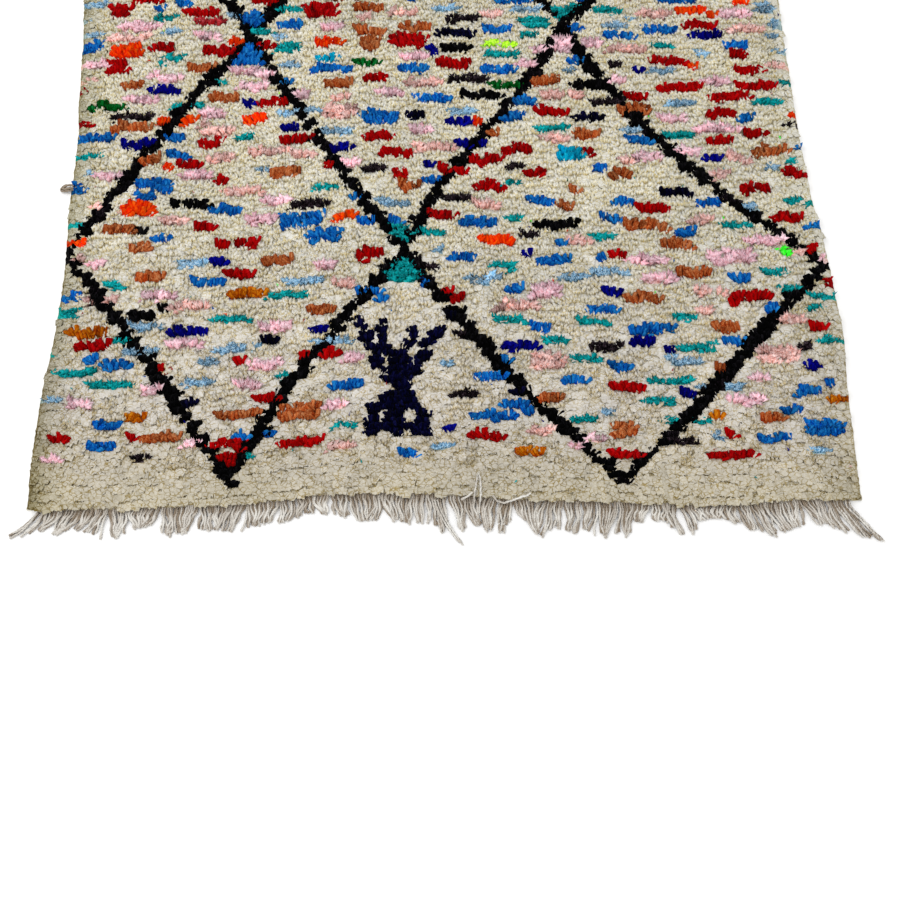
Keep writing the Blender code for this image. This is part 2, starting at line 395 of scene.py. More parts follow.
# The narrow corners at a crossing that are knotted full. Columns: corner, yarn, from, to. What lies below
# nothing is on the fringed end's side.
FILLS = (
    ("near_left", "red", 0.016, 0.042),
    ("near_left", "red", 0.055, 0.070),
    ("middle", "teal", -0.070, -0.016),
    ("middle", "teal", 0.016, 0.055),
    ("upper_left", "royal_blue", -0.070, -0.016),
    ("upper_left", "royal_blue", 0.016, 0.060),
    ("upper_right", "baby_pink", -0.075, -0.016),
    ("upper_right", "teal", 0.016, 0.050),
    ("far_middle", "red", -0.065, -0.016),
    ("far_middle", "teal", 0.016, 0.055),
    ("end_left", "royal_blue", -0.065, -0.016),
    ("end_right", "baby_pink", -0.065, -0.016),
)
FILL_SPREAD = 0.56
FILL_OVERLAP = 0.002

# The navy folk sign, in knots across from its middle and in rows up from its foot. A stroke has its
# width in knots and then its points.
SIGN_FOOT = (-0.066, 0.112)
SIGN_CLEAR = (7.0, 21.0)
SIGN_STROKES = (
    (1.3, (-7.0, 18.0), (-6.4, 16.7), (-5.4, 14.4), (-4.4, 13.0)),
    (2.0, (-5.4, 14.2), (-4.6, 13.2)),
    (1.5, (-4.8, 13.0), (-4.0, 10.8), (-2.8, 8.8)),
    (1.35, (-4.0, 17.4), (-3.4, 16.0), (-3.0, 14.0), (-2.1, 12.4)),
    (1.35, (1.7, 17.3), (1.2, 16.0), (0.7, 14.2), (-0.1, 12.6)),
    (1.6, (5.5, 17.1), (4.2, 15.5), (3.6, 13.6), (2.7, 11.8), (1.4, 10.2)),
    (2.9, (-0.5, 11.3), (-0.5, 7.0)),
    (1.6, (-2.9, 5.9), (1.5, 6.1)),
    (1.6, (-4.7, 4.8), (2.8, 5.0)),
    (1.6, (-5.1, 3.5), (3.5, 3.6)),
    (2.1, (-4.9, 2.1), (3.6, 2.1)),
    (1.1, (-5.0, 1.6), (-4.9, 0.4)),
    (1.6, (3.6, 1.8), (3.9, 0.7)),
)
SIGN_EYES = ((-3.3, 3.5), (1.3, 3.4))
SIGN_EYE_RADIUS = 0.92
CLEAR_OF_THE_SIGN = (1, 2)

# The tufts. A lobe's middle line has columns: share of its length, out from the root, up, radius.
TUFT_VARIANTS = 6
LOBE_ROOT = (0.00, 0.0000, 0.0005, 0.0)
LOBE_LINES = {
    "plump": (LOBE_ROOT, (0.62, 0.0056, 0.0128, 0.0046), (1.00, 0.0134, 0.0142, 0.0)),
    "fluffy": (LOBE_ROOT, (0.45, 0.0016, 0.0122, 0.0042), (0.90, 0.0106, 0.0154, 0.0040),
               (1.00, 0.0122, 0.0150, 0.0)),
    "lumpy": (LOBE_ROOT, (0.45, 0.0012, 0.0122, 0.0050), (0.90, 0.0100, 0.0146, 0.0044),
              (1.00, 0.0120, 0.0140, 0.0)),
    "fine": (LOBE_ROOT, (0.62, 0.0056, 0.0144, 0.0032), (1.00, 0.0124, 0.0152, 0.0)),
    "brick": (LOBE_ROOT, (0.86, 0.0002, 0.0121, 0.0086), (1.00, 0.0006, 0.0132, 0.0)),
    "wisp": (LOBE_ROOT, (0.60, 0.0060, 0.0148, 0.0016), (1.00, 0.0128, 0.0150, 0.0)),
}
# Columns: lobes, sides, how far apart the lobes' roots stand across and along, how far they fan out and
# curl, how uneven they are, how wide a lobe is for its thickness.
TUFT_FORMS = {
    "plump": (5, 3, 0.0086, 0.0060, 0.50, 0.55, 0.17, 1.12),
    "fluffy": (5, 3, 0.0098, 0.0044, 0.45, 0.7, 0.15, 0.95),
    "lumpy": (4, 3, 0.0084, 0.0050, 0.50, 0.6, 0.14, 1.10),
    "fine": (10, 3, 0.0098, 0.0050, 0.80, 1.2, 0.16, 1.00),
    "brick": (3, 4, 0.0082, 0.0032, 0.40, 0.6, 0.09, 0.70),
    "wisp": (1, 3, 0.0000, 0.0000, 1.00, 1.3, 0.20, 1.00),
}
TUFT_KINDS = list(TUFT_FORMS)
# How a lobe of so many sides is turned about its middle line, and by how much more or less by chance
LOBE_TURNS = {3: (math.pi / 6, 0.5), 4: (math.pi / 4, 0.3)}
LOBE_ROUGH = (0.88, 1.12)
FAN_STRAY = 0.3
HEIGHT_KEPT = 0.6
STRIP_MARGIN = 0.04
BAKE_MARGIN = 0.06

# Planting. What a knot tells its tuft: kind of value, and the name that a mesh stores it under.
KNOT_VALUES = {
    "dye": ("FLOAT_COLOR", "color"),
    "lie": ("FLOAT_VECTOR", "vector"),
    "size": ("FLOAT_VECTOR", "vector"),
    "flecks": ("FLOAT", "value"),
    "kind": ("INT", "value"),
    "streaks": ("FLOAT", "value"),
    # warm: how much of the painted warm shade the knot's wool takes
    "warm": ("FLOAT", "value"),
    "loose": ("FLOAT_VECTOR", "vector"),
    "knot": ("INT", "value"),
}
ONLY_FOR_PLANTING = ("lie", "size", "kind", "knot", "loose")
ROOTS_BELOW_GROUND_TOP = 0.0006
TURN_BY_CHANCE = ((-0.16, -0.20, -0.32), (0.10, 0.20, 0.32))
SIZE_BY_CHANCE = ((0.94, 0.92, 0.95), (1.10, 1.10, 1.06))

# The fringe's yarns
WARP_RADIUS = 0.0022
WARP_TWISTS_PER_METRE = 18
WARP_RINGS = 13
WARP_SIDES = 4
WARP_PLY_DEPTH = 0.10
WARP_CLEARANCE = 0.0004
WARP_TIP = 0.6
WARP_WAVE = 0.0036
LAID_THICKNESS = 0.95

# The layers of yarns. Columns: raised at the root, length, least and most soil and painted shade. The under
# yarns are dark as painted shadow between the yarns above, and as soil.
TOP_YARN = (0.0015, 1.0, 0.02, 0.30)
EXTRA_YARN = (0.0035, 0.95, 0.05, 0.28)
UNDER_YARN = (0.0, 0.94, 0.52, 0.88)
EXTRA_YARNS = 0.50
UNDER_YARNS = 2
WEFT_SOIL = (0.8, 1.0)

# A yarn's chances: its size, its wave on the floor, and how it drifts and humps
YARN_THICKNESS = (0.86, 1.14)
YARN_LENGTH = (0.94, 1.04)
ROOT_STRAY = 0.0012
ROOT_INSIDE = 0.004
ROOT_DROPS_BY = 0.25
WAVE_SIZE = (0.4, 1.0)
WAVES = (0.7, 1.5)
WAVE_GROWTH = 1.6
PHASE_STRAY = 0.4
DRIFT_STRAY = 0.0020
DRIFT_POWER = 1.6
HUMP_AT = (0.25, 0.6)
HUMP_EXTRA = 0.0012
HUMP_WIDTH = 0.35

# The bunches that the yarns fall into, and how they sweep outwards at the corners, left and right
BUNCH_PITCH = 0.030
BUNCH_STRAY = 0.3
BUNCH_PULL = (0.05, 0.60)
BUNCH_LEAN = 0.012
BUNCH_LENGTH = (0.76, 1.03)
CORNER_FROM = 0.60
CORNER_SWEEP = (0.013, 0.022)

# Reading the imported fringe's strands
PAST_THE_STRIP = 0.0130
STRAND_SIDES = 4
MERGED_WITHIN = 0.00002

# Warp ends that lie loose on the pile's edge and past the fringe. Points: across, along, up.
LOOSE_WARPS = (
    ((0.064, -0.012, 0.004), (0.063, 0.002, 0.018), (0.066, 0.020, 0.0205), (0.0695, 0.042, 0.0205),
     (0.0720, 0.044, 0.0205), (0.0745, 0.028, 0.0205), (0.0750, 0.006, 0.0190), (0.073, -0.012, 0.005)),
    ((0.096, 0.004, 0.0150), (0.104, -0.006, 0.0120), (0.116, -0.009, 0.0110), (0.131, -0.005, 0.0140),
     (0.146, 0.000, 0.0175), (0.158, 0.003, 0.0185), (0.163, 0.007, 0.0190)),
    ((0.040, -0.003, 0.0120), (0.048, 0.000, 0.0160), (0.055, 0.004, 0.0180), (0.060, 0.009, 0.0190)),
    ((-0.003, -0.002, 0.0060), (0.003, -0.020, 0.0072), (0.014, -0.042, 0.0066), (0.027, -0.061, 0.0036),
     (0.037, -0.075, 0.0030), (0.043, -0.084, 0.0030)),
    ((-0.008, -0.002, 0.0060), (-0.001, -0.022, 0.0072), (0.010, -0.043, 0.0066), (0.024, -0.063, 0.0036),
     (0.033, -0.074, 0.0030), (0.040, -0.080, 0.0030)),
)
# Weft ends that stick out of the left side as loops. Points: across, along, up.
FRAYED_WEFT = (
    ((-0.728, 0.648, 0.010), (-0.744, 0.649, 0.009), (-0.754, 0.646, 0.005), (-0.757, 0.641, 0.004),
     (-0.754, 0.637, 0.005), (-0.742, 0.636, 0.008), (-0.728, 0.638, 0.010)),
    ((-0.728, 0.646, 0.012), (-0.742, 0.647, 0.011), (-0.750, 0.644, 0.008), (-0.750, 0.640, 0.008),
     (-0.740, 0.639, 0.011), (-0.728, 0.641, 0.012)),
    ((-0.728, 0.643, 0.008), (-0.744, 0.643, 0.007), (-0.753, 0.642, 0.004), (-0.755, 0.645, 0.004)),
)
LAID_FROM_THE_EDGE_AT = 0.1


def linear(colour):
    """A colour of 255 in the linear values that shaders work with."""
    shares = [value / 255 for value in colour]
    return tuple(c / 12.92 if c <= 0.04045 else ((c + 0.055) / 1.055) ** 2.4 for c in shares)


def clamped(value):
    return min(1.0, max(0.0, value))


def wander(name, x, y):
    """How far what is named wanders at a place."""
    most, per_metre, layer = WANDERS[name]
    return most * noise.noise(Vector((x * per_metre, y * per_metre, layer)))


# The outline


def read_outline():
    """The flat underside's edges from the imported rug: points along each side and each end."""
    mesh = frame["nodes"]["rug"].data
    flat = np.array([v.co[:2] for v in mesh.vertices if v.co.z < FLOOR_LEVEL])
    x, y = flat.T
    half_width = RUG_SIZE[0] / 2 - EDGE_BAND[0]
    half_length = HALF_LENGTH - EDGE_BAND[1]
    on_side = np.abs(y) < half_length
    on_end = np.abs(x) < half_width
    return {
        "left": flat[on_side & (x < -half_width)],
        "right": flat[on_side & (x > half_width)],
        "near": flat[on_end & (y < -half_length)],
        "far": flat[on_end & (y > half_length)],
    }


EDGES = read_outline()


def edge_at(name, place):
    """Where an edge lies: x of a side at a y, or y of an end at an x."""
    points = EDGES[name]
    if name in ("left", "right"):
        points = points[:, ::-1]
    points = points[np.argsort(points[:, 0])]
    return np.interp(place, points[:, 0], points[:, 1])


def lay_out(columns, rows, side_inset, end_inset):
    """A grid of places from shares of the rug's width and length, so that rows follow its outline."""
    share_across, share_along = np.meshgrid(columns, rows)
    y = (share_along - 0.5) * RUG_SIZE[1]
    for _ in range(OUTLINE_ROUNDS):
        left = edge_at("left", y) + side_inset
        right = edge_at("right", y) - side_inset
        x = left + (right - left) * share_across
        near = edge_at("near", x) + end_inset
        far = edge_at("far", x) - end_inset
        y = near + (far - near) * share_along
    return x, y


# The chart: which yarn each knot has


def line_distance(x, along, start, end, bow, sway):
    """How far a knot is from a line that bows at its middle and sways about it."""
    (x0, a0), (x1, a1) = CORNERS[start], CORNERS[end]
    share = (along - a0) / (a1 - a0)
    if not -LINE_PAST_ENDS <= share <= 1 + LINE_PAST_ENDS:
        return math.inf
    line_x = x0 + (x1 - x0) * share + bow * math.sin(math.pi * share) + sway * math.sin(2 * math.pi * share)
    slope = abs(x1 - x0) / abs(a1 - a0)
    return abs(x - line_x) / math.hypot(1, slope)


def on_a_line(x, along, rng):
    """Whether a knot is in a black line, which is slim at its corners and uneven by chance."""
    stray = wander("lines", x, along)
    slim = 1.0
    for name, (corner_x, corner_along) in CORNERS.items():
        if name not in FULL_WIDTH_CORNERS:
            least = TIP_SLIM.get(name, LINE_SLIM)
            away = math.hypot(x - corner_x, along - corner_along) / LINE_SLIM_REACH
            slim = min(slim, least + (1 - least) * away)
    reach = LINE_HALF_WIDTH * slim + rng.uniform(-LINE_STRAY, LINE_STRAY)
    return any(line_distance(x + stray, along, *line) < reach for line in LINES)


def fill_at(x, along):
    """The yarn that fills a crossing's narrow corner at this knot, if it lies in one."""
    for corner, yarn, low, high in FILLS:
        corner_x, corner_along = CORNERS[corner]
        above = along - corner_along
        if low < above < high and abs(x - corner_x) < FILL_SPREAD * abs(above) + FILL_OVERLAP:
            return yarn
    return None


def stroke_distance(px, py, points):
    """How far a place is from a chain of straight pieces, all in knots."""
    nearest = math.inf
    for (ax, ay), (bx, by) in zip(points, points[1:]):
        dx, dy = bx - ax, by - ay
        share = clamped(((px - ax) * dx + (py - ay) * dy) / (dx * dx + dy * dy))
        nearest = min(nearest, math.hypot(px - ax - share * dx, py - ay - share * dy))
    return nearest


def at_the_sign(x, along):
    """Navy on the sign's strokes, undyed wool kept clear among them, and nothing elsewhere."""
    px = (x - SIGN_FOOT[0]) / KNOT_PITCH
    py = (along - SIGN_FOOT[1]) / ROW_PITCH
    in_eye = any(math.hypot(px - ex, py - ey) < SIGN_EYE_RADIUS for ex, ey in SIGN_EYES)
    if not in_eye and any(stroke_distance(px, py, points) < width / 2 for width, *points in SIGN_STROKES):
        return "navy"
    if abs(px) < SIGN_CLEAR[0] and -1 < py < SIGN_CLEAR[1]:
        return "cream_kept"
    return None


def draw_yarn(table, along, rng, before):
    """Draws a bar's yarn by weight, and not the one that was drawn before it."""
    fitting = [row for row in table if row[2] <= along <= row[3] and row[0] != before]
    return rng.choices([row[0] for row in fitting], [row[1] for row in fitting])[0]


def around(knot, rows, columns):
    """The knots up to so many rows and columns from a knot, with itself."""
    row, column = knot
    return [(row + up, column + across)
            for up in range(-rows, rows + 1) for across in range(-columns, columns + 1)]


def knot_bar(chart, bars, row, column, knots, yarn, rng):
    """Knots a short bar that may tilt by a row, clear of the other bars, cornerwise too."""
    tilt = rng.uniform(-BAR_TILT, BAR_TILT)
    rows = 2 if knots > 2 and rng.random() < SECOND_ROW else 1
    bar = 1 + max(bars.values(), default=0)
    for step in range(knots):
        first = round(row + tilt * (step - knots / 2))
        for knot in [(this_row, column + step) for this_row in range(first, first + rows)]:
            free = chart.get(knot) == "cream" and rng.random() > BARE_KNOTS
            if free and all(bars.get(near, bar) == bar for near in around(knot, 1, 1)):
                chart[knot] = yarn
                bars[knot] = bar


def knot_bars(chart, bars, rng):
    """Knots courses of bars, each with every second bar half a course higher."""
    yarn = None
    course_along = FIRST_BAR_ALONG
    while course_along < RUG_SIZE[1]:
        pitch = np.interp(course_along, (0, CLOSER_BY_ALONG), COURSE_PITCH)
        start = rng.uniform(-0.5, 0.5) * BAR_REPEAT
        for place in range(int(RUG_SIZE[0] / BAR_REPEAT) + 2):
            across = start + place * BAR_REPEAT + rng.uniform(-BAR_SHIFT, BAR_SHIFT)
            along = course_along + 0.5 * (place % 2) * pitch + rng.uniform(-BAR_RISE, BAR_RISE)
            yarn = draw_yarn(BAR_YARNS, along, rng, yarn)
            knots = rng.choice(BAR_KNOTS)
            column = round(across / KNOT_PITCH)
            knot_bar(chart, bars, along / ROW_PITCH, column, knots, yarn, rng)
        course_along += pitch


def knot_dots(chart, bars, rng):
    """Knots single knots and very short bars anywhere."""
    for _ in range(int(DOTS_PER_SQUARE_METRE * RUG_SIZE[0] * RUG_SIZE[1])):
        row = rng.randrange(int(FIRST_BAR_ALONG / RUG_SIZE[1] * KNOT_ROWS), KNOT_ROWS - 2)
        column = rng.randrange(1, KNOTS_IN_A_ROW - 2)
        yarn = draw_yarn(DOT_YARNS, row / KNOT_ROWS * RUG_SIZE[1], rng, None)
        knot_bar(chart, bars, row, column, rng.choice(DOT_KNOTS), yarn, rng)


def chart_the_knots(x, along):
    """One yarn for every knot: the sign, the lines and the crossings first, and then the bars."""
    rng = random.Random(SEED)
    chart = {}
    bars = {}
    for knot in KNOTS:
        place = x[knot], along[knot]
        chart[knot] = at_the_sign(*place)
        if not chart[knot] and on_a_line(*place, rng):
            chart[knot] = "charcoal" if wander("charcoal", *place) > CHARCOAL_FROM else "black"
        elif not chart[knot]:
            chart[knot] = fill_at(*place) or "cream"
    knot_bars(chart, bars, rng)
    knot_dots(chart, bars, rng)
    for knot in bars:
        if "navy" in [chart.get(near) for near in around(knot, *CLEAR_OF_THE_SIGN)]:
            chart[knot] = "cream"
    return {knot: "cream" if yarn == "cream_kept" else yarn for knot, yarn in chart.items()}


# The knots' places and looks


def knot_grid():
    """Every knot's place, in rows from the fringed end, with the rows' soft waves."""
    columns = (np.arange(KNOTS_IN_A_ROW) + 0.5) / KNOTS_IN_A_ROW
    rows = (np.arange(KNOT_ROWS) + 0.5) / KNOT_ROWS
    x, y = lay_out(columns, rows, SIDE_INSET, END_INSET)
    rng = np.random.default_rng(SEED)
    for knot in KNOTS:
        y[knot] += wander("rows", x[knot], y[knot])
    grown = np.vectorize(grown_by)(y + HALF_LENGTH)
    calm = SHORT_PILE_CALM + (1 - SHORT_PILE_CALM) * grown
    x += KNOT_STRAY[0] * calm * rng.normal(0, 1, x.shape)
    y += KNOT_STRAY[1] * calm * rng.normal(0, 1, y.shape)
    y[0] -= rng.uniform(0, EDGE_OVERHANG, KNOTS_IN_A_ROW)
    return x, y


def cream_shade(x, along, column, rng):
    """How the undyed wool differs from place to place: lighter locks, khaki near the fringe, and painted
    shade along the sides.
    """
    khaki = max(0.0, 1 - along / KHAKI_REACH)
    low = clamped(1 - (along - SHORT_PILE_REACH) / LOW_REACH)
    side = 0 if x < 0 else 1
    # Painted shade: darker and warmer towards each side, and most in the outer columns.
    painted_side_shade = MARGIN_PAINTED_SHADE[side] * max(0.0, (abs(x) - MARGIN_FROM) / MARGIN_WIDTH)
    painted_side_shade += RIM_PAINTED_SHADE[side] * (1 - from_the_side(column))
    light = CREAM_LIGHT + wander("light", x, along) + wander("light of the locks", x, along)
    light += rng.normal(0, LOCK_STRAY) - KHAKI_SHADE * khaki - LOW_SHADE * low
    light *= 1 - painted_side_shade
    warm = wander("warmth", x, along) + KHAKI_WARMTH * khaki + LOW_WARMTH * low + MARGIN_PAINTED_SHADE_WARMTH * painted_side_shade
    green = light * (1 - WARM_LESS_GREEN * warm - LOW_LESS_GREEN * low)
    return light, green, light * (1 - WARM_LESS_BLUE * warm)


def grown_by(along):
    """How far the pile has grown from short to long: nothing by the fringe, and then 1."""
    return clamped((along - SHORT_PILE_REACH) / (LONG_PILE_FROM - SHORT_PILE_REACH))


def pile_height(x, along):
    """How high the pile stands for its full height: shorter by the fringe, with soft swells."""
    grown = clamped(grown_by(along) + wander("growth", x, along))
    swell = PILE_SWELL * (wander("broad swells", x, along) + wander("small swells", x, along))
    return (SHORT_PILE_HEIGHT + (1 - SHORT_PILE_HEIGHT) * grown) * (1 + swell)


def dye_knots(x, y, chart):
    """Every knot's own colour."""
    rng = np.random.default_rng(SEED + 1)
    dyes = np.ones((KNOT_ROWS, KNOTS_IN_A_ROW, 4))
    for knot in KNOTS:
        if chart[knot] == "cream":
            shade = cream_shade(x[knot], y[knot] + HALF_LENGTH, knot[1], rng)
        else:
            shade = [1 + DYE_STRAY * rng.normal()] * 3
        dyes[knot][:3] = np.clip(np.array(linear(YARNS[chart[knot]][0])) * shade, 0, 1)
    return dyes


def from_the_side(column, last=KNOTS_IN_A_ROW - 1):
    """0 in the sides' first columns, and 1 from a few columns in."""
    return min(1.0, min(column, last - column) / SIDE_COLUMNS)


def is_cobbled(x, along, column, rng):
    """Whether the undyed pile is short and packed: by the fringe and the sides, in patches elsewhere."""
    if rng.random() > from_the_side(column):
        return True
    patch = wander("short patches", x, along) + wander("small patches", x, along)
    if along < SHORT_PILE_REACH + PATCH_REACH * patch:
        return True
    share = COBBLED_SHARE * (1 - (along - SHORT_PILE_REACH) / COBBLED_REACH)
    return rng.random() < share + PATCH_SHARE * patch


def leaning(x, y, column):
    """The direction that a knot's pile leans in: with the pile about it, and inwards at the sides."""
    lie = wander("lie", x, y) + wander("curl", x, y)
    inner = from_the_side(column)
    return lie * inner + math.copysign(SIDE_LEAN * (1 - inner), x)


def rise(length):
    """How much higher a longer tuft stands: most of its length lies over its neighbours."""
    return 1 + RISE_SHARE * (length - 1)


def any_tuft(kind, rng):
    """The number of one of a kind's variants."""
    return TUFT_KINDS.index(kind) * TUFT_VARIANTS + int(rng.integers(TUFT_VARIANTS))


def wisp_on(x, y, along, height, rng):
    """A stray end of dyed yarn that was trodden into the undyed pile."""
    names = [row[0] for row in DOT_YARNS if row[2] <= along <= row[3]]
    colour = YARNS[names[int(rng.integers(len(names)))]][0]
    kind = any_tuft("wisp", rng)
    size = (1.0, rng.uniform(*WISP_LENGTH), height * WISP_RAISED)
    lie = (0, 0, rng.uniform(-WISP_TURN, WISP_TURN))
    return x, y, (*linear(colour), 1.0), lie, size, 0.0, kind, WISP_STREAKS, DYED_PAINTED_SHADE_WARMTH, (1.0, 1.0, 1.0)


def describe_knots(x, y, chart, dyes):
    """For each group of yarns, its knots' places and the values that their tufts are planted from."""
    rng = np.random.default_rng(SEED + 3)
    groups = {WISP_GROUP: []}
    for row, column in KNOTS:
        kx, ky = x[row, column], y[row, column]
        along = ky + HALF_LENGTH
        yarn = chart[row, column]
        _, tuft, length, thickness, flecks, group = YARNS[yarn]
        lie = leaning(kx, ky, column)
        at_side = 1 - from_the_side(column)
        shorter = (1 - SIDE_SHORTER * at_side) * (1 - FRINGE_SHORTER * (1 - grown_by(along)))
        streaks, warm, shade, loose = DYED_STREAKS, DYED_PAINTED_SHADE_WARMTH, 1.0, 1.0
        if yarn == "cream":
            group = "cream_%d" % (CREAM_PIECES * row // KNOT_ROWS + 1)
            streaks, warm = CREAM_STREAKS, 1.0
            if is_cobbled(kx, along, column, rng):
                tuft, shorter = "brick", 1.0
                streaks, shade, loose = COBBLED_STREAKS, COBBLED_SHADE, BLOCK_LOOSE
                lie *= BLOCK_LIE
                kx += BLOCK_PULL if (column + row) % 2 == 0 else -BLOCK_PULL
                ky += BLOCK_STEP * round(wander("blocks", kx, ky))
        length *= shorter
        thickness *= 1 - SIDE_THINNER * at_side
        height = rise(length) * pile_height(kx, along)
        kind = any_tuft(tuft, rng)
        dye = dyes[row, column] * (shade, shade, shade, 1.0)
        size = (thickness, length, height)
        knot = (kx, ky, dye, (0, 0, lie), size, flecks, kind, streaks, warm, (loose, loose, loose))
        groups.setdefault(group, []).append(knot)
        if yarn == "cream" and along > FIRST_BAR_ALONG / 2 and rng.random() < WISP_SHARE:
            groups[WISP_GROUP].append(wisp_on(kx, ky, along, height, rng))
    return groups


# The tufts


def lobe_ring(middle, along_line, heading, radius, sides, turn, wide, rng):
    """A ring of uneven points around a lobe's middle line."""
    across = Vector((math.cos(heading), -math.sin(heading), 0))
    across = (across - across.dot(along_line) * along_line).normalized()
    up = along_line.cross(across)
    points = []
    for i in range(sides):
        angle = turn + 2 * math.pi * i / sides
        reach = radius * rng.uniform(*LOBE_ROUGH)
        points.append(middle + reach * (wide * math.cos(angle) * across + math.sin(angle) * up))
    return points


def make_tuft(name, kind, rng):
    """A knot's cut yarn ends: a few closed lobes that rise and then curl outwards."""
    lobes, sides, spread, deep, fan, most_curl, uneven, wide = TUFT_FORMS[kind]
    first_turn, turn_stray = LOBE_TURNS[sides]
    bm = bmesh.new()
    reach = bm.verts.layers.float.new("reach")
    tone = bm.verts.layers.float.new("tone")
    yarn_map = bm.loops.layers.uv.new("yarn")
    for lobe in range(lobes):
        side = lobe / (lobes - 1) - 0.5 if lobes > 1 else 0
        longer = 1 + rng.uniform(-uneven, uneven)
        thicker = 1 + rng.uniform(-uneven, uneven)
        darker = rng.uniform(*LOBE_DEPTH.get(kind, DYED_LOBE_DEPTH))
        heading = side * fan + rng.uniform(-FAN_STRAY, FAN_STRAY) * fan
        curl = rng.uniform(-1, 1) * most_curl
        turn = first_turn + rng.uniform(-turn_stray, turn_stray)
        root = Vector((side * spread, rng.uniform(-0.5, 0.5) * deep, 0))
        middles = []
        for share, out, up, _ in LOBE_LINES[kind]:
            bend = heading + curl * share
            outwards = Vector((math.sin(bend), math.cos(bend), 0)) * out * longer
            height = up * (HEIGHT_KEPT + (1 - HEIGHT_KEPT) * longer)
            middles.append(root + outwards + Vector((0, 0, height)))
        rings = []
        for step, (share, _, _, radius) in enumerate(LOBE_LINES[kind]):
            points = [middles[step]]
            if radius:
                line = (middles[step + 1] - middles[step - 1]).normalized()
                points = lobe_ring(middles[step], line, heading, radius * thicker, sides, turn, wide, rng)
            rings.append([bm.verts.new(point) for point in points])
            for vert in rings[-1]:
                vert[reach] = share
                vert[tone] = darker
        skin_lobe(bm, rings, sides, yarn_map, reach, lobe, lobes)
        if kind == "brick":
            crease_ring(rings[1])
    bmesh.ops.recalc_face_normals(bm, faces=bm.faces)
    mesh = bpy.data.meshes.new(name)
    bm.to_mesh(mesh)
    bm.free()
    return bpy.data.objects.new(name, mesh)


def crease_ring(ring):
    """Makes a ring's edges crisp, so that what lies above it looks flat."""
    for vert in ring:
        for edge in vert.link_edges:
            if edge.other_vert(vert) in ring:
                edge.smooth = False


def skin_lobe(bm, rings, sides, yarn_map, reach, lobe, lobes):
    """Closes a lobe from its root point over its rings to its tip, each side with its own strip."""
    for lower, upper in zip(rings, rings[1:]):
        for i in range(sides):
            corners = {}
            for ring, step in ((lower, i), (lower, i + 1), (upper, i + 1), (upper, i)):
                corners.setdefault(ring[step % sides % len(ring)], step / sides)
            face = bm.faces.new(list(corners))
            face.smooth = True
            for loop, across in zip(face.loops, corners.values()):
                strip = lobe + STRIP_MARGIN + (1 - 2 * STRIP_MARGIN) * across
                loop[yarn_map].uv = (strip / lobes, loop.vert[reach])


def make_tufts():
    """A collection with the variants of each kind, in the order that the knots count them."""
    rng = random.Random(SEED + 2)
    collection = bpy.data.collections.new("tufts")
    for number, kind in enumerate(TUFT_KINDS):
        for variant in range(TUFT_VARIANTS):
            name = "tuft_%02d" % (number * TUFT_VARIANTS + variant)
            collection.objects.link(make_tuft(name, kind, rng))
    return collection


# Planting the tufts


def in_the_scene(name, data):
    """A new object in the scene."""
    thing = bpy.data.objects.new(name, data)
    bpy.context.scene.collection.objects.link(thing)
    return thing


def add(tree, kind, output, inputs, **settings):
    """Adds a node. Each input is a value or another node's output. Gives one of its outputs."""
    node = tree.nodes.new(kind)
    for name, value in settings.items():
        setattr(node, name, value)
    for label, value in inputs.items():
        if isinstance(value, bpy.types.NodeSocket):
            tree.links.new(value, node.inputs[label])
        else:
            node.inputs[label].default_value = value
    return node.outputs[output]


def maths(tree, operation, first, second):
    return add(tree, "ShaderNodeMath", "Value", {0: first, 1: second}, operation=operation)


def vector_maths(tree, operation, first, second):
    return add(tree, "ShaderNodeVectorMath", "Vector", {0: first, 1: second}, operation=operation)


def scaled(tree, vector, value):
    """A vector or a colour times a value."""
    return add(tree, "ShaderNodeVectorMath", "Vector", {0: vector, "Scale": value}, operation="SCALE")


def named_attribute(tree, name, data_type):
    return add(tree, "GeometryNodeInputNamedAttribute", "Attribute", {"Name": name}, data_type=data_type)


def random_vector(tree, low, high, seed):
    limits = {"Min": low, "Max": high, "Seed": seed}
    return add(tree, "FunctionNodeRandomValue", "Value", limits, data_type="FLOAT_VECTOR")


def new_tree(name, inputs):
    """A geometry tree with its named inputs. Gives the tree and what its inputs give."""
    tree = bpy.data.node_groups.new(name, "GeometryNodeTree")
    tree.interface.new_socket(name="Geometry", in_out="OUTPUT", socket_type="NodeSocketGeometry")
    for label, kind in {"Geometry": "Geometry", **inputs}.items():
        tree.interface.new_socket(name=label, in_out="INPUT", socket_type="NodeSocket" + kind)
    return tree, tree.nodes.new("NodeGroupInput").outputs


def end_tree(tree, geometry, material):
    """Makes what the tree has placed real, gives it its material and gives it out."""
    real = add(tree, "GeometryNodeRealizeInstances", "Geometry", {"Geometry": geometry})
    painted = add(tree, "GeometryNodeSetMaterial", "Geometry", {"Geometry": real, "Material": material})
    tree.links.new(painted, tree.nodes.new("NodeGroupOutput").inputs["Geometry"])


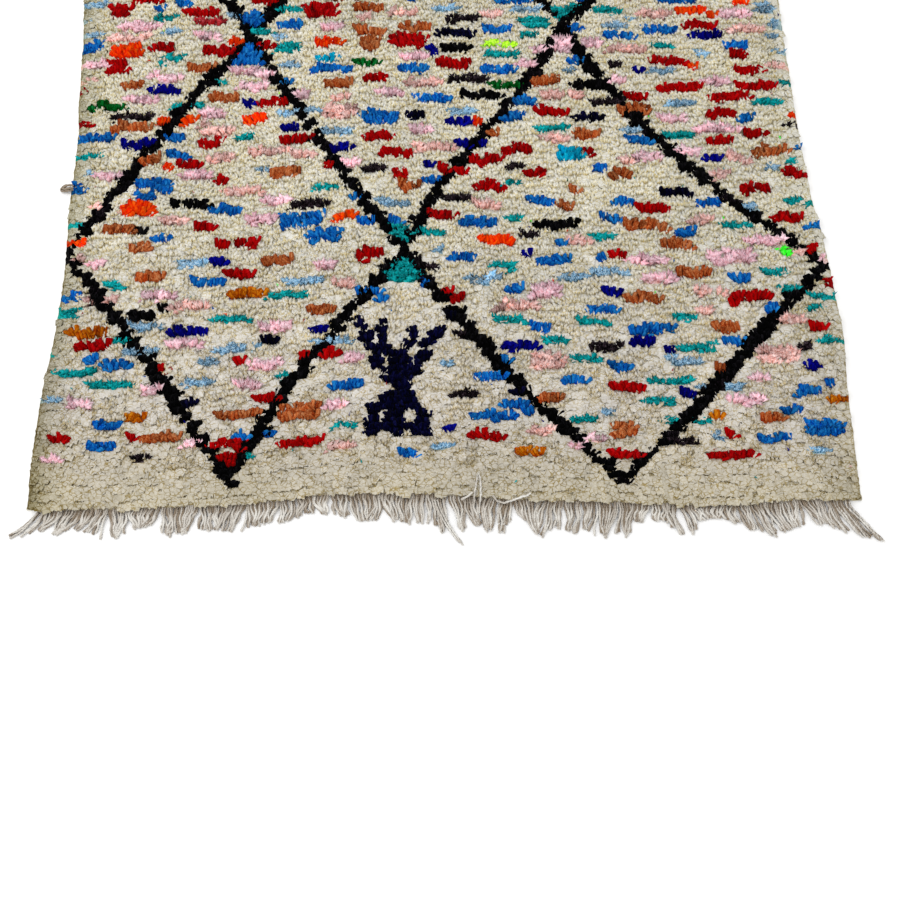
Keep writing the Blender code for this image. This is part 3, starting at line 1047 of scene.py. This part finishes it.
def knot_planting_tree():
    """Puts a tuft on every point, turned and sized by the point's values and by chance."""
    inputs = {"Tufts": "Collection", "Wool": "Material", "Pile length": "Float", "Seed": "Int"}
    tree, given = new_tree("knot_planting", inputs)
    variants = {"Collection": given["Tufts"], "Separate Children": True, "Reset Children": True}
    by_chance = random_vector(tree, *TURN_BY_CHANCE, given["Seed"])
    by_chance = vector_maths(tree, "MULTIPLY", named_attribute(tree, "loose", "FLOAT_VECTOR"), by_chance)
    turn = vector_maths(tree, "ADD", named_attribute(tree, "lie", "FLOAT_VECTOR"), by_chance)
    by_chance = random_vector(tree, *SIZE_BY_CHANCE, given["Seed"])
    size = vector_maths(tree, "MULTIPLY", named_attribute(tree, "size", "FLOAT_VECTOR"), by_chance)
    planting = {
        "Points": given["Geometry"],
        "Instance": add(tree, "GeometryNodeCollectionInfo", "Instances", variants),
        "Pick Instance": True,
        "Instance Index": named_attribute(tree, "kind", "INT"),
        "Rotation": turn,
        "Scale": scaled(tree, size, given["Pile length"]),
    }
    end_tree(tree, add(tree, "GeometryNodeInstanceOnPoints", "Instances", planting), given["Wool"])
    return tree


def run_tree(thing, tree, values, name):
    """Gives the tree's result on an object as a plain mesh object, and removes the object."""
    modifier = thing.modifiers.new(tree.name, "NODES")
    modifier.node_group = tree
    for item in tree.interface.items_tree:
        if item.in_out == "INPUT" and item.name in values:
            modifier[item.identifier] = values[item.name]
    bpy.context.view_layer.update()
    graph = bpy.context.evaluated_depsgraph_get()
    mesh = bpy.data.meshes.new_from_object(thing.evaluated_get(graph), depsgraph=graph)
    mesh.name = name
    bpy.data.objects.remove(thing)
    return in_the_scene(name, mesh)


def point_cloud(name, knots):
    """A mesh of loose points, one for each knot, that carries what the tree reads."""
    x, y, *columns = zip(*knots)
    mesh = bpy.data.meshes.new(name)
    mesh.from_pydata([(kx, ky, GROUND_THICK - ROOTS_BELOW_GROUND_TOP) for kx, ky in zip(x, y)], [], [])
    columns.append(range(len(knots)))
    for (label, (data_type, field)), column in zip(KNOT_VALUES.items(), columns):
        attribute = mesh.attributes.new(label, data_type, "POINT")
        attribute.data.foreach_set(field, np.array(column).ravel())
    return in_the_scene(name, mesh)


def lay_bake_map(mesh, knots):
    """Gives each knot its own square of a second map, so that no two lie on each other."""
    yarn = np.zeros(len(mesh.loops) * 2, np.float32)
    mesh.uv_layers["yarn"].data.foreach_get("uv", yarn)
    corner = np.zeros(len(mesh.loops), np.int32)
    mesh.loops.foreach_get("vertex_index", corner)
    knot = np.zeros(len(mesh.vertices), np.int32)
    mesh.attributes["knot"].data.foreach_get("value", knot)
    number = knot[corner]
    side = math.ceil(math.sqrt(knots))
    place = np.stack([number % side, number // side], axis=1)
    uv = (place + BAKE_MARGIN + (1 - 2 * BAKE_MARGIN) * yarn.reshape(-1, 2)) / side
    layer = mesh.uv_layers.new(name="OFBake")
    layer.data.foreach_set("uv", uv.astype(np.float32).ravel())
    mesh.uv_layers["yarn"].active_render = True
    mesh.uv_layers["yarn"].active = True


def plant(name, knots, tree, tufts, wool, seed):
    """One piece of pile, with a tuft on each of its knots."""
    values = {"Tufts": tufts, "Wool": wool, "Pile length": 1.0, "Seed": seed}
    piece = run_tree(point_cloud(name + "_points", knots), tree, values, name)
    lay_bake_map(piece.data, len(knots))
    for label in ONLY_FOR_PLANTING:
        if label in piece.data.attributes:
            piece.data.attributes.remove(piece.data.attributes[label])
    return piece


# The materials


def new_material(name):
    """A material with its tree and its shader."""
    material = bpy.data.materials.new(name)
    material.use_nodes = True
    return material, material.node_tree, material.node_tree.nodes["Principled BSDF"]


def yarn_material(name, roughness, sheen):
    """A soft material with its tree, its shader and the place that its patterns lie by."""
    material, tree, shader = new_material(name)
    shader.inputs["Roughness"].default_value = roughness
    shader.inputs["Sheen Weight"].default_value = sheen
    shader.inputs["Sheen Roughness"].default_value = SHEEN_ROUGHNESS
    shader.inputs["Specular IOR Level"].default_value = YARN_SPECULAR
    return material, tree, shader, add(tree, "ShaderNodeTexCoord", "Object", {})


def attribute(tree, name, output="Fac"):
    return add(tree, "ShaderNodeAttribute", output, {}, attribute_name=name)


def noise_at(tree, vector, scale, detail):
    return add(tree, "ShaderNodeTexNoise", "Fac", {"Vector": vector, "Scale": scale, "Detail": detail})


def remap(tree, value, limits):
    """A value of a pattern as what its low and its high give."""
    labels = ("Value", "From Min", "From Max", "To Min", "To Max")
    return add(tree, "ShaderNodeMapRange", "Result", dict(zip(labels, (value, *limits))))


def product(tree, value, *others):
    for other in others:
        value = maths(tree, "MULTIPLY", value, other)
    return value


def mixed(tree, share, first, second):
    """The first value where the share is nothing, and the second where it is 1."""
    return add(tree, "ShaderNodeMix", "Result", {"Factor": share, "A": first, "B": second})


def stretched(tree, vector, scale):
    return add(tree, "ShaderNodeMapping", "Vector", {"Vector": vector, "Scale": scale})


def curled(tree, place, curl, crease_share):
    """Packed curls of wool: nothing in the creases between them, and 1 in their middles."""
    place = stretched(tree, place, curl)
    bent = add(tree, "ShaderNodeTexNoise", "Color", {"Vector": place, "Scale": CURL_BENT_PER_METRE})
    shift = {0: bent, 1: (CURL_BEND, CURL_BEND, CURL_BEND), 2: place}
    moved = add(tree, "ShaderNodeVectorMath", "Vector", shift, operation="MULTIPLY_ADD")
    cells = {"Vector": moved, "Scale": CURLS_PER_METRE}
    edge = add(tree, "ShaderNodeTexVoronoi", "Distance", cells, feature="DISTANCE_TO_EDGE")
    return remap(tree, edge, (0.0, crease_share, 0.0, 1.0))


def warmed(tree, colour, share):
    """A colour with the wool's warm shadow by a share."""
    inputs = {MIX_SHARE: share, MIX_FIRST: colour, MIX_SECOND: (*WARM_SHADOW, 1)}
    return add(tree, "ShaderNodeMix", MIX_RESULT, inputs, data_type="RGBA", blend_type="MULTIPLY")


def deepened(tree, colour, depth):
    """A colour made darker and stronger, as wool is where it lies deeper: 1 leaves it as it is."""
    return add(tree, "ShaderNodeGamma", "Color", {"Color": colour, "Gamma": depth})


def finish_material(tree, shader, colour, height, strength, distance):
    """Gives the shader its colour and a bump."""
    tree.links.new(colour, shader.inputs["Base Color"])
    bump = {"Height": height, "Strength": strength, "Distance": distance}
    tree.links.new(add(tree, "ShaderNodeBump", "Normal", bump), shader.inputs["Normal"])


def knotted_wool():
    """Dyed pile yarn, with finer curls and fibres on it, flecks where the yarn has them, painted shade in
    the creases between the curls, and painted light and shade at the roots.
    """
    material, tree, shader, place = yarn_material("knotted_wool", *WOOL_FINISH)
    lobe = stretched(tree, add(tree, "ShaderNodeUVMap", "UV", {}, uv_map="yarn"), FIBRES_IN_A_LOBE)
    fibre = noise_at(tree, lobe, 1.0, 2)
    fuzz = noise_at(tree, place, FUZZ_PER_METRE, 2)
    speck = noise_at(tree, place, SPECKS_PER_METRE, 1)
    reach = attribute(tree, "reach")
    streaks = attribute(tree, "streaks")
    combed = curled(tree, place, COMBED_CURL, CREASE_SHARE)
    packed = curled(tree, place, PACKED_CURL, PACKED_CREASE_SHARE)
    middle = mixed(tree, remap(tree, streaks, PACKED_WHERE_STREAKED), combed, packed)
    whole = remap(tree, noise_at(tree, place, CREASE_BREAKS_PER_METRE, 1), CREASES_BROKEN)
    # The creases between the curls get painted shade.
    pattern = product(
        tree,
        mixed(tree, whole, 1.0, remap(tree, middle, CREASE_PAINTED_SHADE)),
        remap(tree, fuzz, FUZZ_DEPTH),
        remap(tree, fibre, FIBRE_DEPTH),
    )
    depth = product(
        tree,
        mixed(tree, streaks, 1.0, pattern),
        attribute(tree, "tone"),
        mixed(tree, attribute(tree, "flecks"), 1.0, remap(tree, speck, FLECK_DEPTH)),
        remap(tree, reach, ROOT_PAINTED_SHADE),
    )
    warm = attribute(tree, "warm")
    painted_crease_warmth = product(tree, whole, remap(tree, middle, CREASE_PAINTED_WARM_SHADE))
    # Painted light and warm shade towards the roots
    colour = scaled(tree, attribute(tree, "dye", "Color"), remap(tree, reach, ROOT_PAINTED_LIGHT))
    colour = warmed(tree, colour, product(tree, warm, remap(tree, reach, ROOT_PAINTED_WARM_SHADE)))
    colour = warmed(tree, colour, product(tree, warm, painted_crease_warmth))
    finish_material(tree, shader, deepened(tree, colour, depth), fuzz, *FUZZ_BUMP)
    return material


def packed_wool():
    """The lower pile: the same wool, with painted brown shade in the grooves between its blocks and in the
    creases of its curls.
    """
    material, tree, shader, place = yarn_material("packed_wool", *WOOL_FINISH)
    fuzz = noise_at(tree, place, FUZZ_PER_METRE, 2)
    low = attribute(tree, "low")
    middle = curled(tree, place, PACKED_CURL, PACKED_CREASE_SHARE)
    # Painted shade: darker and warmer in the grooves and in the creases
    depth = product(
        tree,
        remap(tree, low, BED_GROOVE_PAINTED_SHADE),
        remap(tree, middle, BED_CREASE_PAINTED_SHADE),
        remap(tree, fuzz, BED_FUZZ_DEPTH),
    )
    colour = warmed(tree, attribute(tree, "dye", "Color"), remap(tree, low, BED_GROOVE_PAINTED_WARM_SHADE))
    colour = warmed(tree, colour, remap(tree, middle, BED_CREASE_PAINTED_WARM_SHADE))
    finish_material(tree, shader, deepened(tree, colour, depth), fuzz, *FUZZ_BUMP)
    return material


def woven_back():
    """The underside: rows of knot backs between flat wefts."""
    material, tree, shader, place = yarn_material("woven_back", *BACK_FINISH)
    scale = KNOT_ROWS / RUG_SIZE[1] / WAVES_FOR_A_SCALE_OF_1
    waves = {"Vector": place, "Scale": scale, "Distortion": BACK_UNEVEN}
    rows = add(tree, "ShaderNodeTexWave", "Fac", waves, bands_direction="Y")
    grain = noise_at(tree, place, BACK_GRAINS_PER_METRE, 3)
    light = product(tree, remap(tree, rows, BACK_ROW_LIGHT), remap(tree, grain, BACK_GRAIN_LIGHT))
    finish_material(tree, shader, scaled(tree, attribute(tree, "dye", "Color"), light), rows, *BACK_BUMP)
    return material


def cotton_warp():
    """Undyed twisted cotton: darker towards its roots, and darkest in the yarns that lie under, whose
    darkness is soil and painted shadow between the yarns.
    """
    material, tree, shader, place = yarn_material("cotton_warp", *COTTON_FINISH)
    blotch = noise_at(tree, place, COTTON_BLOTCHES_PER_METRE, 3)
    grain = noise_at(tree, place, COTTON_GRAINS_PER_METRE, 2)
    reach = attribute(tree, "reach")
    # Soil and painted shade, more towards the root
    soil_and_shade = product(tree, remap(tree, reach, COTTON_SOIL_AND_SHADE_BY_REACH), attribute(tree, "soil_and_shade"))
    soil_and_shade = maths(tree, "ADD", remap(tree, reach, COTTON_ROOT_DARKENING), soil_and_shade)
    worn = maths(tree, "ADD", remap(tree, reach, COTTON_WORN_TIP), remap(tree, blotch, COTTON_BLOTCHES))
    ramp = add(tree, "ShaderNodeValToRGB", "Color", {"Fac": maths(tree, "ADD", soil_and_shade, worn)})
    clean, soiled_and_shaded = ramp.node.color_ramp.elements
    clean.color = (*linear(COTTON_CLEAN), 1)
    soiled_and_shaded.color = (*linear(COTTON_SOILED_AND_SHADED), 1)
    colour = scaled(tree, ramp, remap(tree, grain, COTTON_GRAIN_LIGHT))
    finish_material(tree, shader, colour, grain, *COTTON_BUMP)
    return material


# The woven ground


def close_sheet(bm, level):
    """Carries a sheet's rim to a level and closes it there. Gives the faces that it makes."""
    before = set(bm.faces)
    rim = [edge for edge in bm.edges if edge.is_boundary]
    made = bmesh.ops.extrude_edge_only(bm, edges=rim)["geom"]
    for item in made:
        if isinstance(item, bmesh.types.BMVert):
            item.co.z = level
    open_edges = [item for item in made if isinstance(item, bmesh.types.BMEdge) and item.is_boundary]
    lid = bmesh.ops.holes_fill(bm, edges=open_edges)["faces"]
    bmesh.ops.triangulate(bm, faces=lid)
    bmesh.ops.recalc_face_normals(bm, faces=bm.faces)
    return [face for face in bm.faces if face not in before]


def sheet_of_knots(name, places, dyes, level, material):
    """A closed sheet with a face for each dye between the rows and columns of places."""
    bm = bmesh.new()
    dye = bm.loops.layers.float_color.new("dye")
    points = [[bm.verts.new(place) for place in line] for line in places]
    for line, column in np.ndindex(len(places) - 1, KNOTS_IN_A_ROW):
        lower, upper = points[line], points[line + 1]
        face = bm.faces.new((lower[column], lower[column + 1], upper[column + 1], upper[column]))
        for loop in face.loops:
            loop[dye] = dyes[line, column]
    for face in close_sheet(bm, level):
        for loop in face.loops:
            loop[dye] = (*linear(YARNS["cream"][0]), 1.0)
    mesh = bpy.data.meshes.new(name)
    bm.to_mesh(mesh)
    bm.free()
    mesh.materials.append(material)
    return in_the_scene(name, mesh)


def make_ground(dyes, material):
    """The woven ground. Its underside has a face for every two knots, and its top is flat."""
    columns = np.linspace(0, 1, KNOTS_IN_A_ROW + 1)
    rows = np.linspace(0, 1, KNOT_ROWS // 2 + 1)
    x, y = lay_out(columns, rows, 0.0, 0.0)
    places = np.stack([x, y, np.zeros_like(x)], axis=2)
    return sheet_of_knots("ground_cloth", places, dyes[::2], GROUND_THICK, material)


def make_pile_bed(dyes, material):
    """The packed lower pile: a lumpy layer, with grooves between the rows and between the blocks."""
    rng = np.random.default_rng(SEED + 5)
    columns = np.linspace(0, 1, KNOTS_IN_A_ROW + 1)
    rows = np.linspace(0, 1, 2 * KNOT_ROWS + 1)
    x, y = lay_out(columns, rows, *BED_INSET)
    z = np.ones_like(x)
    for line, column in np.ndindex(z.shape):
        between_blocks = (column + line // 2) % 2 == 0
        grown = grown_by(y[line, column] + HALF_LENGTH)
        groove = BED_GROOVE * (1 - GROOVE_FILLED_BY_LONG_PILE * grown)
        if line % 2 == 0 or between_blocks:
            z[line, column] -= rng.uniform(*GROOVE_CHANCE) * groove / BED_TOP
    low = (1.0 - z) * BED_TOP / BED_GROOVE
    # Painted shade: the outer columns are shaded as if they were deep grooves
    low[:, 0], low[:, -1] = BED_RIM_PAINTED_GROOVE_SHADE
    z += rng.uniform(-BED_ROUGH, BED_ROUGH, z.shape) / BED_TOP
    x += rng.uniform(-BED_STRAY, BED_STRAY, x.shape)
    y += rng.uniform(-BED_STRAY, BED_STRAY, y.shape)
    for line, column in np.ndindex(z.shape):
        along = y[line, column] + HALF_LENGTH
        grown = grown_by(along) * from_the_side(column, KNOTS_IN_A_ROW)
        top = BED_TOP_WHERE_SHORT + (BED_TOP - BED_TOP_WHERE_SHORT) * grown
        z[line, column] *= top * pile_height(x[line, column], along)
    z[:, (0, -1)] = BED_RIM
    z[(0, -1), :] = BED_RIM
    # Painted shade: the bed is a little darker than its knots, and darker still in its outer columns
    shaded = np.repeat(dyes * (BED_PAINTED_SHADE, BED_PAINTED_SHADE, BED_PAINTED_SHADE, 1.0), 2, axis=0)
    shaded[1:] = shaded[:-1].copy()
    shaded[:, 0, :3] *= BED_RIM_PAINTED_SHADE[0]
    shaded[:, -1, :3] *= BED_RIM_PAINTED_SHADE[1]
    bed = sheet_of_knots("pile_bed", np.stack([x, y, z], axis=2), shaded, GROUND_THICK / 2, material)
    depths = np.ones(len(bed.data.vertices), np.float32)
    depths[:low.size] = low.ravel()
    bed.data.attributes.new("low", "FLOAT", "POINT").data.foreach_set("value", depths)
    bed.data.shade_smooth()
    return bed


# The fringe


def strand_lines():
    """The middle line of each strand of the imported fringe, from its root to its tip."""
    bm = bmesh.new()
    bm.from_mesh(frame["nodes"]["fringe"].data)
    bmesh.ops.remove_doubles(bm, verts=bm.verts, dist=MERGED_WITHIN)
    loose = {vert for vert in bm.verts if vert.co.y - edge_at("near", vert.co.x) < -PAST_THE_STRIP}
    lines = []
    while loose:
        strand, queue = set(), [loose.pop()]
        while queue:
            here = queue.pop()
            strand.add(here)
            for edge in here.link_edges:
                other = edge.other_vert(here)
                if other in loose:
                    loose.remove(other)
                    queue.append(other)
                elif other not in strand and other not in queue:
                    strand.add(other)
        # Points that are equally far out are sorted by their whole place, so every run draws one line
        places = sorted((vert.co.copy() for vert in strand), key=lambda place: (-place.y, *place))
        steps = [places[i:i + STRAND_SIDES] for i in range(0, len(places), STRAND_SIDES)]
        lines.append([sum(step, Vector()) / len(step) for step in steps])
    bm.free()
    return sorted(lines, key=lambda line: tuple(line[0]))


def halfway(first, second):
    """The line between two strands, which may have unlike numbers of points."""
    count = min(len(first), len(second))
    pairs = [(first[i * len(first) // count], second[i * len(second) // count]) for i in range(count)]
    return [(a + b) / 2 for a, b in pairs]


def bunch_at(x):
    """The bunch of yarns that a root belongs to: its middle, pull, lean, phase and length."""
    number = round(x / BUNCH_PITCH + wander("bunches", x, 0))
    rng = random.Random(SEED + 100 + number)
    middle = number * BUNCH_PITCH + rng.uniform(-BUNCH_STRAY, BUNCH_STRAY) * BUNCH_PITCH
    lean = rng.uniform(-BUNCH_LEAN, BUNCH_LEAN)
    return middle, rng.uniform(*BUNCH_PULL), lean, rng.uniform(0, 2 * math.pi), rng.uniform(*BUNCH_LENGTH)


def fringe_yarn(strand, rng, raised, longer, least_soil_and_shade, most_soil_and_shade):
    """A yarn out of the ground, down to the floor, and in a soft wave to its tip: points, size, soil and
    painted shade.
    """
    thick = rng.uniform(*YARN_THICKNESS)
    height = WARP_RADIUS * thick * (1 + WARP_PLY_DEPTH) + WARP_CLEARANCE
    stray = rng.uniform(-ROOT_STRAY, ROOT_STRAY)
    root_y = edge_at("near", strand[0].x) + ROOT_INSIDE
    root = Vector((strand[0].x + stray, root_y, GROUND_THICK + raised))
    middle, pull, lean, phase, length = bunch_at(root.x)
    shares = np.linspace(0, 1, len(strand) + 1)
    path = np.array([root] + strand)
    longer *= length * rng.uniform(*YARN_LENGTH)
    wave = rng.uniform(*WAVE_SIZE) * WARP_WAVE
    waves = rng.uniform(*WAVES)
    start = phase + rng.gauss(0, PHASE_STRAY)
    corner = max(0.0, abs(root.x) - CORNER_FROM) / (RUG_SIZE[0] / 2 - CORNER_FROM)
    drift = (middle - root.x) * pull + lean + rng.gauss(0, DRIFT_STRAY)
    drift += corner * (CORNER_SWEEP[1] if root.x > 0 else -CORNER_SWEEP[0])
    crest = rng.uniform(*HUMP_AT)
    lift = raised + rng.uniform(0, HUMP_EXTRA)
    points = []
    for share in np.linspace(0, 1, WARP_RINGS):
        x, y = (np.interp(share, shares, path[:, axis]) for axis in (0, 1))
        sway = wave * math.sin(math.pi * min(1.0, WAVE_GROWTH * share) / 2)
        sway *= math.sin(start + 2 * math.pi * waves * share) - math.sin(start)
        hump = lift * math.exp(-((share - crest) / HUMP_WIDTH) ** 2)
        rise_from_root = max(0.0, 1 - share / ROOT_DROPS_BY) * (root.z - height)
        points.append(Vector((
            x + stray + sway + drift * share ** DRIFT_POWER,
            root.y + (y - root.y) * longer,
            height + max(hump, rise_from_root),
        )))
    return points, thick, rng.uniform(least_soil_and_shade, most_soil_and_shade)


def laid_by_hand(points, soil_and_shade):
    """A yarn through points that were given from the fringed end: points, size, soil."""
    near = edge_at("near", LAID_FROM_THE_EDGE_AT)
    return [Vector((x, near + along, up)) for x, along, up in points], LAID_THICKNESS, soil_and_shade


def warp_tree():
    """Spins each drawn line into a two-ply yarn."""
    inputs = {"Yarn radius": "Float", "Twists per metre": "Float", "Rings": "Int", "Sides": "Int"}
    tree, given = new_tree("warp_spinning", {**inputs, "Cotton": "Material"})
    line = {"Curve": given["Geometry"], "Count": given["Rings"]}
    line = add(tree, "GeometryNodeResampleCurve", "Curve", line)
    length = add(tree, "GeometryNodeSplineParameter", "Length", {})
    turns = maths(tree, "MULTIPLY", length, given["Twists per metre"])
    twist = {"Curve": line, "Tilt": maths(tree, "MULTIPLY", turns, 2 * math.pi)}
    twisted = add(tree, "GeometryNodeSetCurveTilt", "Curve", twist)
    circle = {"Resolution": given["Sides"], "Radius": given["Yarn radius"]}
    circle = add(tree, "GeometryNodeCurvePrimitiveCircle", "Curve", circle)
    plies = {"Geometry": circle, "Scale": (1 + WARP_PLY_DEPTH, 1 - WARP_PLY_DEPTH, 1)}
    plies = add(tree, "GeometryNodeTransform", "Geometry", plies)
    skin = {"Curve": twisted, "Profile Curve": plies, "Fill Caps": True}
    end_tree(tree, add(tree, "GeometryNodeCurveToMesh", "Mesh", skin), given["Cotton"])
    return tree


def warp_curve(name, yarns):
    """A curve with a spline for each yarn, a little thinner at its tip."""
    curve = bpy.data.curves.new(name, "CURVE")
    curve.dimensions = "3D"
    for line, radius, _ in yarns:
        spline = curve.splines.new("POLY")
        spline.points.add(len(line) - 1)
        for point, place in zip(spline.points, line):
            point.co = (*place, 1)
            point.radius = radius
        spline.points[-1].radius = WARP_TIP * radius
    return in_the_scene(name, curve)


def spin_yarns(name, yarns, tree, cotton):
    """Spins yarns into one piece, in which each knows its soil and painted shade and how far its points
    reach.
    """
    values = {
        "Yarn radius": WARP_RADIUS,
        "Twists per metre": WARP_TWISTS_PER_METRE,
        "Rings": WARP_RINGS,
        "Sides": WARP_SIDES,
        "Cotton": cotton,
    }
    piece = run_tree(warp_curve(name + "_lines", yarns), tree, values, name)
    number = np.arange(len(piece.data.vertices))
    yarn, point = np.divmod(number, WARP_RINGS * WARP_SIDES)
    soil_and_shade = np.array([soil_and_shade for _, _, soil_and_shade in yarns])[yarn]
    for label, column in (("soil_and_shade", soil_and_shade), ("reach", point // WARP_SIDES / (WARP_RINGS - 1))):
        attribute = piece.data.attributes.new(label, "FLOAT", "POINT")
        attribute.data.foreach_set("value", column.astype(np.float32))
    return piece


def make_fringe(tree, cotton):
    """A yarn on each packed strand and some between them, and darker ones under these, painted as the
    shadow between the yarns and as soil.
    """
    rng = random.Random(SEED + 3)
    strands = strand_lines()
    yarns = []
    for strand, following in zip(strands, strands[1:] + [None]):
        yarns.append(fringe_yarn(strand, rng, *TOP_YARN))
        if following:
            between = halfway(strand, following)
            if rng.random() < EXTRA_YARNS:
                yarns.append(fringe_yarn(between, rng, *EXTRA_YARN))
            yarns += [fringe_yarn(between, rng, *UNDER_YARN) for _ in range(UNDER_YARNS)]
    yarns += [laid_by_hand(points, 0.0) for points in LOOSE_WARPS]
    return spin_yarns("warp_fringe", yarns, tree, cotton)


def make_frayed_weft(tree, cotton):
    """The weft's loops that have worked out of the left side."""
    rng = random.Random(SEED + 4)
    yarns = [laid_by_hand(points, rng.uniform(*WEFT_SOIL)) for points in FRAYED_WEFT]
    return spin_yarns("frayed_weft", yarns, tree, cotton)


# The floor, the light and the camera


def make_stage():
    """A pale floor for the photograph, apart from the rug."""
    bpy.ops.mesh.primitive_plane_add(size=FLOOR_SIZE, location=(0, 0, 0))
    floor = bpy.context.object
    floor.name = "floor"
    material, _, shader = new_material("pale_floor")
    shader.inputs["Base Color"].default_value = FLOOR_COLOUR
    shader.inputs["Roughness"].default_value = 0.9
    shader.inputs["Specular IOR Level"].default_value = 0.1
    floor.data.materials.append(material)


def make_light():
    """Soft daylight all round, and a little more of it from a window at the left."""
    world = bpy.data.worlds.new("soft_daylight")
    world.use_nodes = True
    background = world.node_tree.nodes["Background"]
    background.inputs["Color"].default_value = (1, 1, 1, 1)
    background.inputs["Strength"].default_value = 1.0
    bpy.context.scene.world = world
    window = bpy.data.lights.new("window_light", "AREA")
    window.shape = "DISK"
    window.size = WINDOW_SIZE
    window.energy = WINDOW_WATTS
    lamp = in_the_scene("window_light", window)
    lamp.location = WINDOW_PLACE
    lamp.rotation_euler = (-Vector(WINDOW_PLACE)).to_track_quat("-Z", "Y").to_euler()
    bpy.context.scene.view_settings.view_transform = "Standard"


def make_camera():
    """The photograph's camera, which stands before the fringed end and looks down."""
    camera = bpy.data.cameras.new("camera")
    camera.lens = CAMERA_LENS
    camera.sensor_width = CAMERA_SENSOR
    thing = in_the_scene("camera", camera)
    thing.location = (CAMERA_ACROSS, -HALF_LENGTH - CAMERA_BEFORE_END, CAMERA_HEIGHT)
    thing.rotation_euler = (math.pi / 2 - CAMERA_DOWN, 0, 0)
    bpy.context.scene.camera = thing


def main():
    make_stage()
    make_light()
    make_camera()
    x, y = knot_grid()
    chart = chart_the_knots(x, y + HALF_LENGTH)
    wool = knotted_wool()
    cotton = cotton_warp()
    tufts = make_tufts()
    planting = knot_planting_tree()
    dyes = dye_knots(x, y, chart)
    pile = [make_pile_bed(dyes, packed_wool())]
    for number, (group, knots) in enumerate(sorted(describe_knots(x, y, chart, dyes).items())):
        pile.append(plant("pile_" + group, knots, planting, tufts, wool, SEED + number))
    ground = make_ground(dyes, woven_back())
    spinning = warp_tree()
    fringe = make_fringe(spinning, cotton)
    weft = make_frayed_weft(spinning, cotton)
    for piece in pile + [ground]:
        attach(piece, "root")
        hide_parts("rug")
    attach(weft, "root")
    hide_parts("rug")
    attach(fringe, "root")
    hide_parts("fringe")
    for tuft in list(tufts.objects):
        bpy.data.objects.remove(tuft)
    bpy.data.collections.remove(tufts)


main()
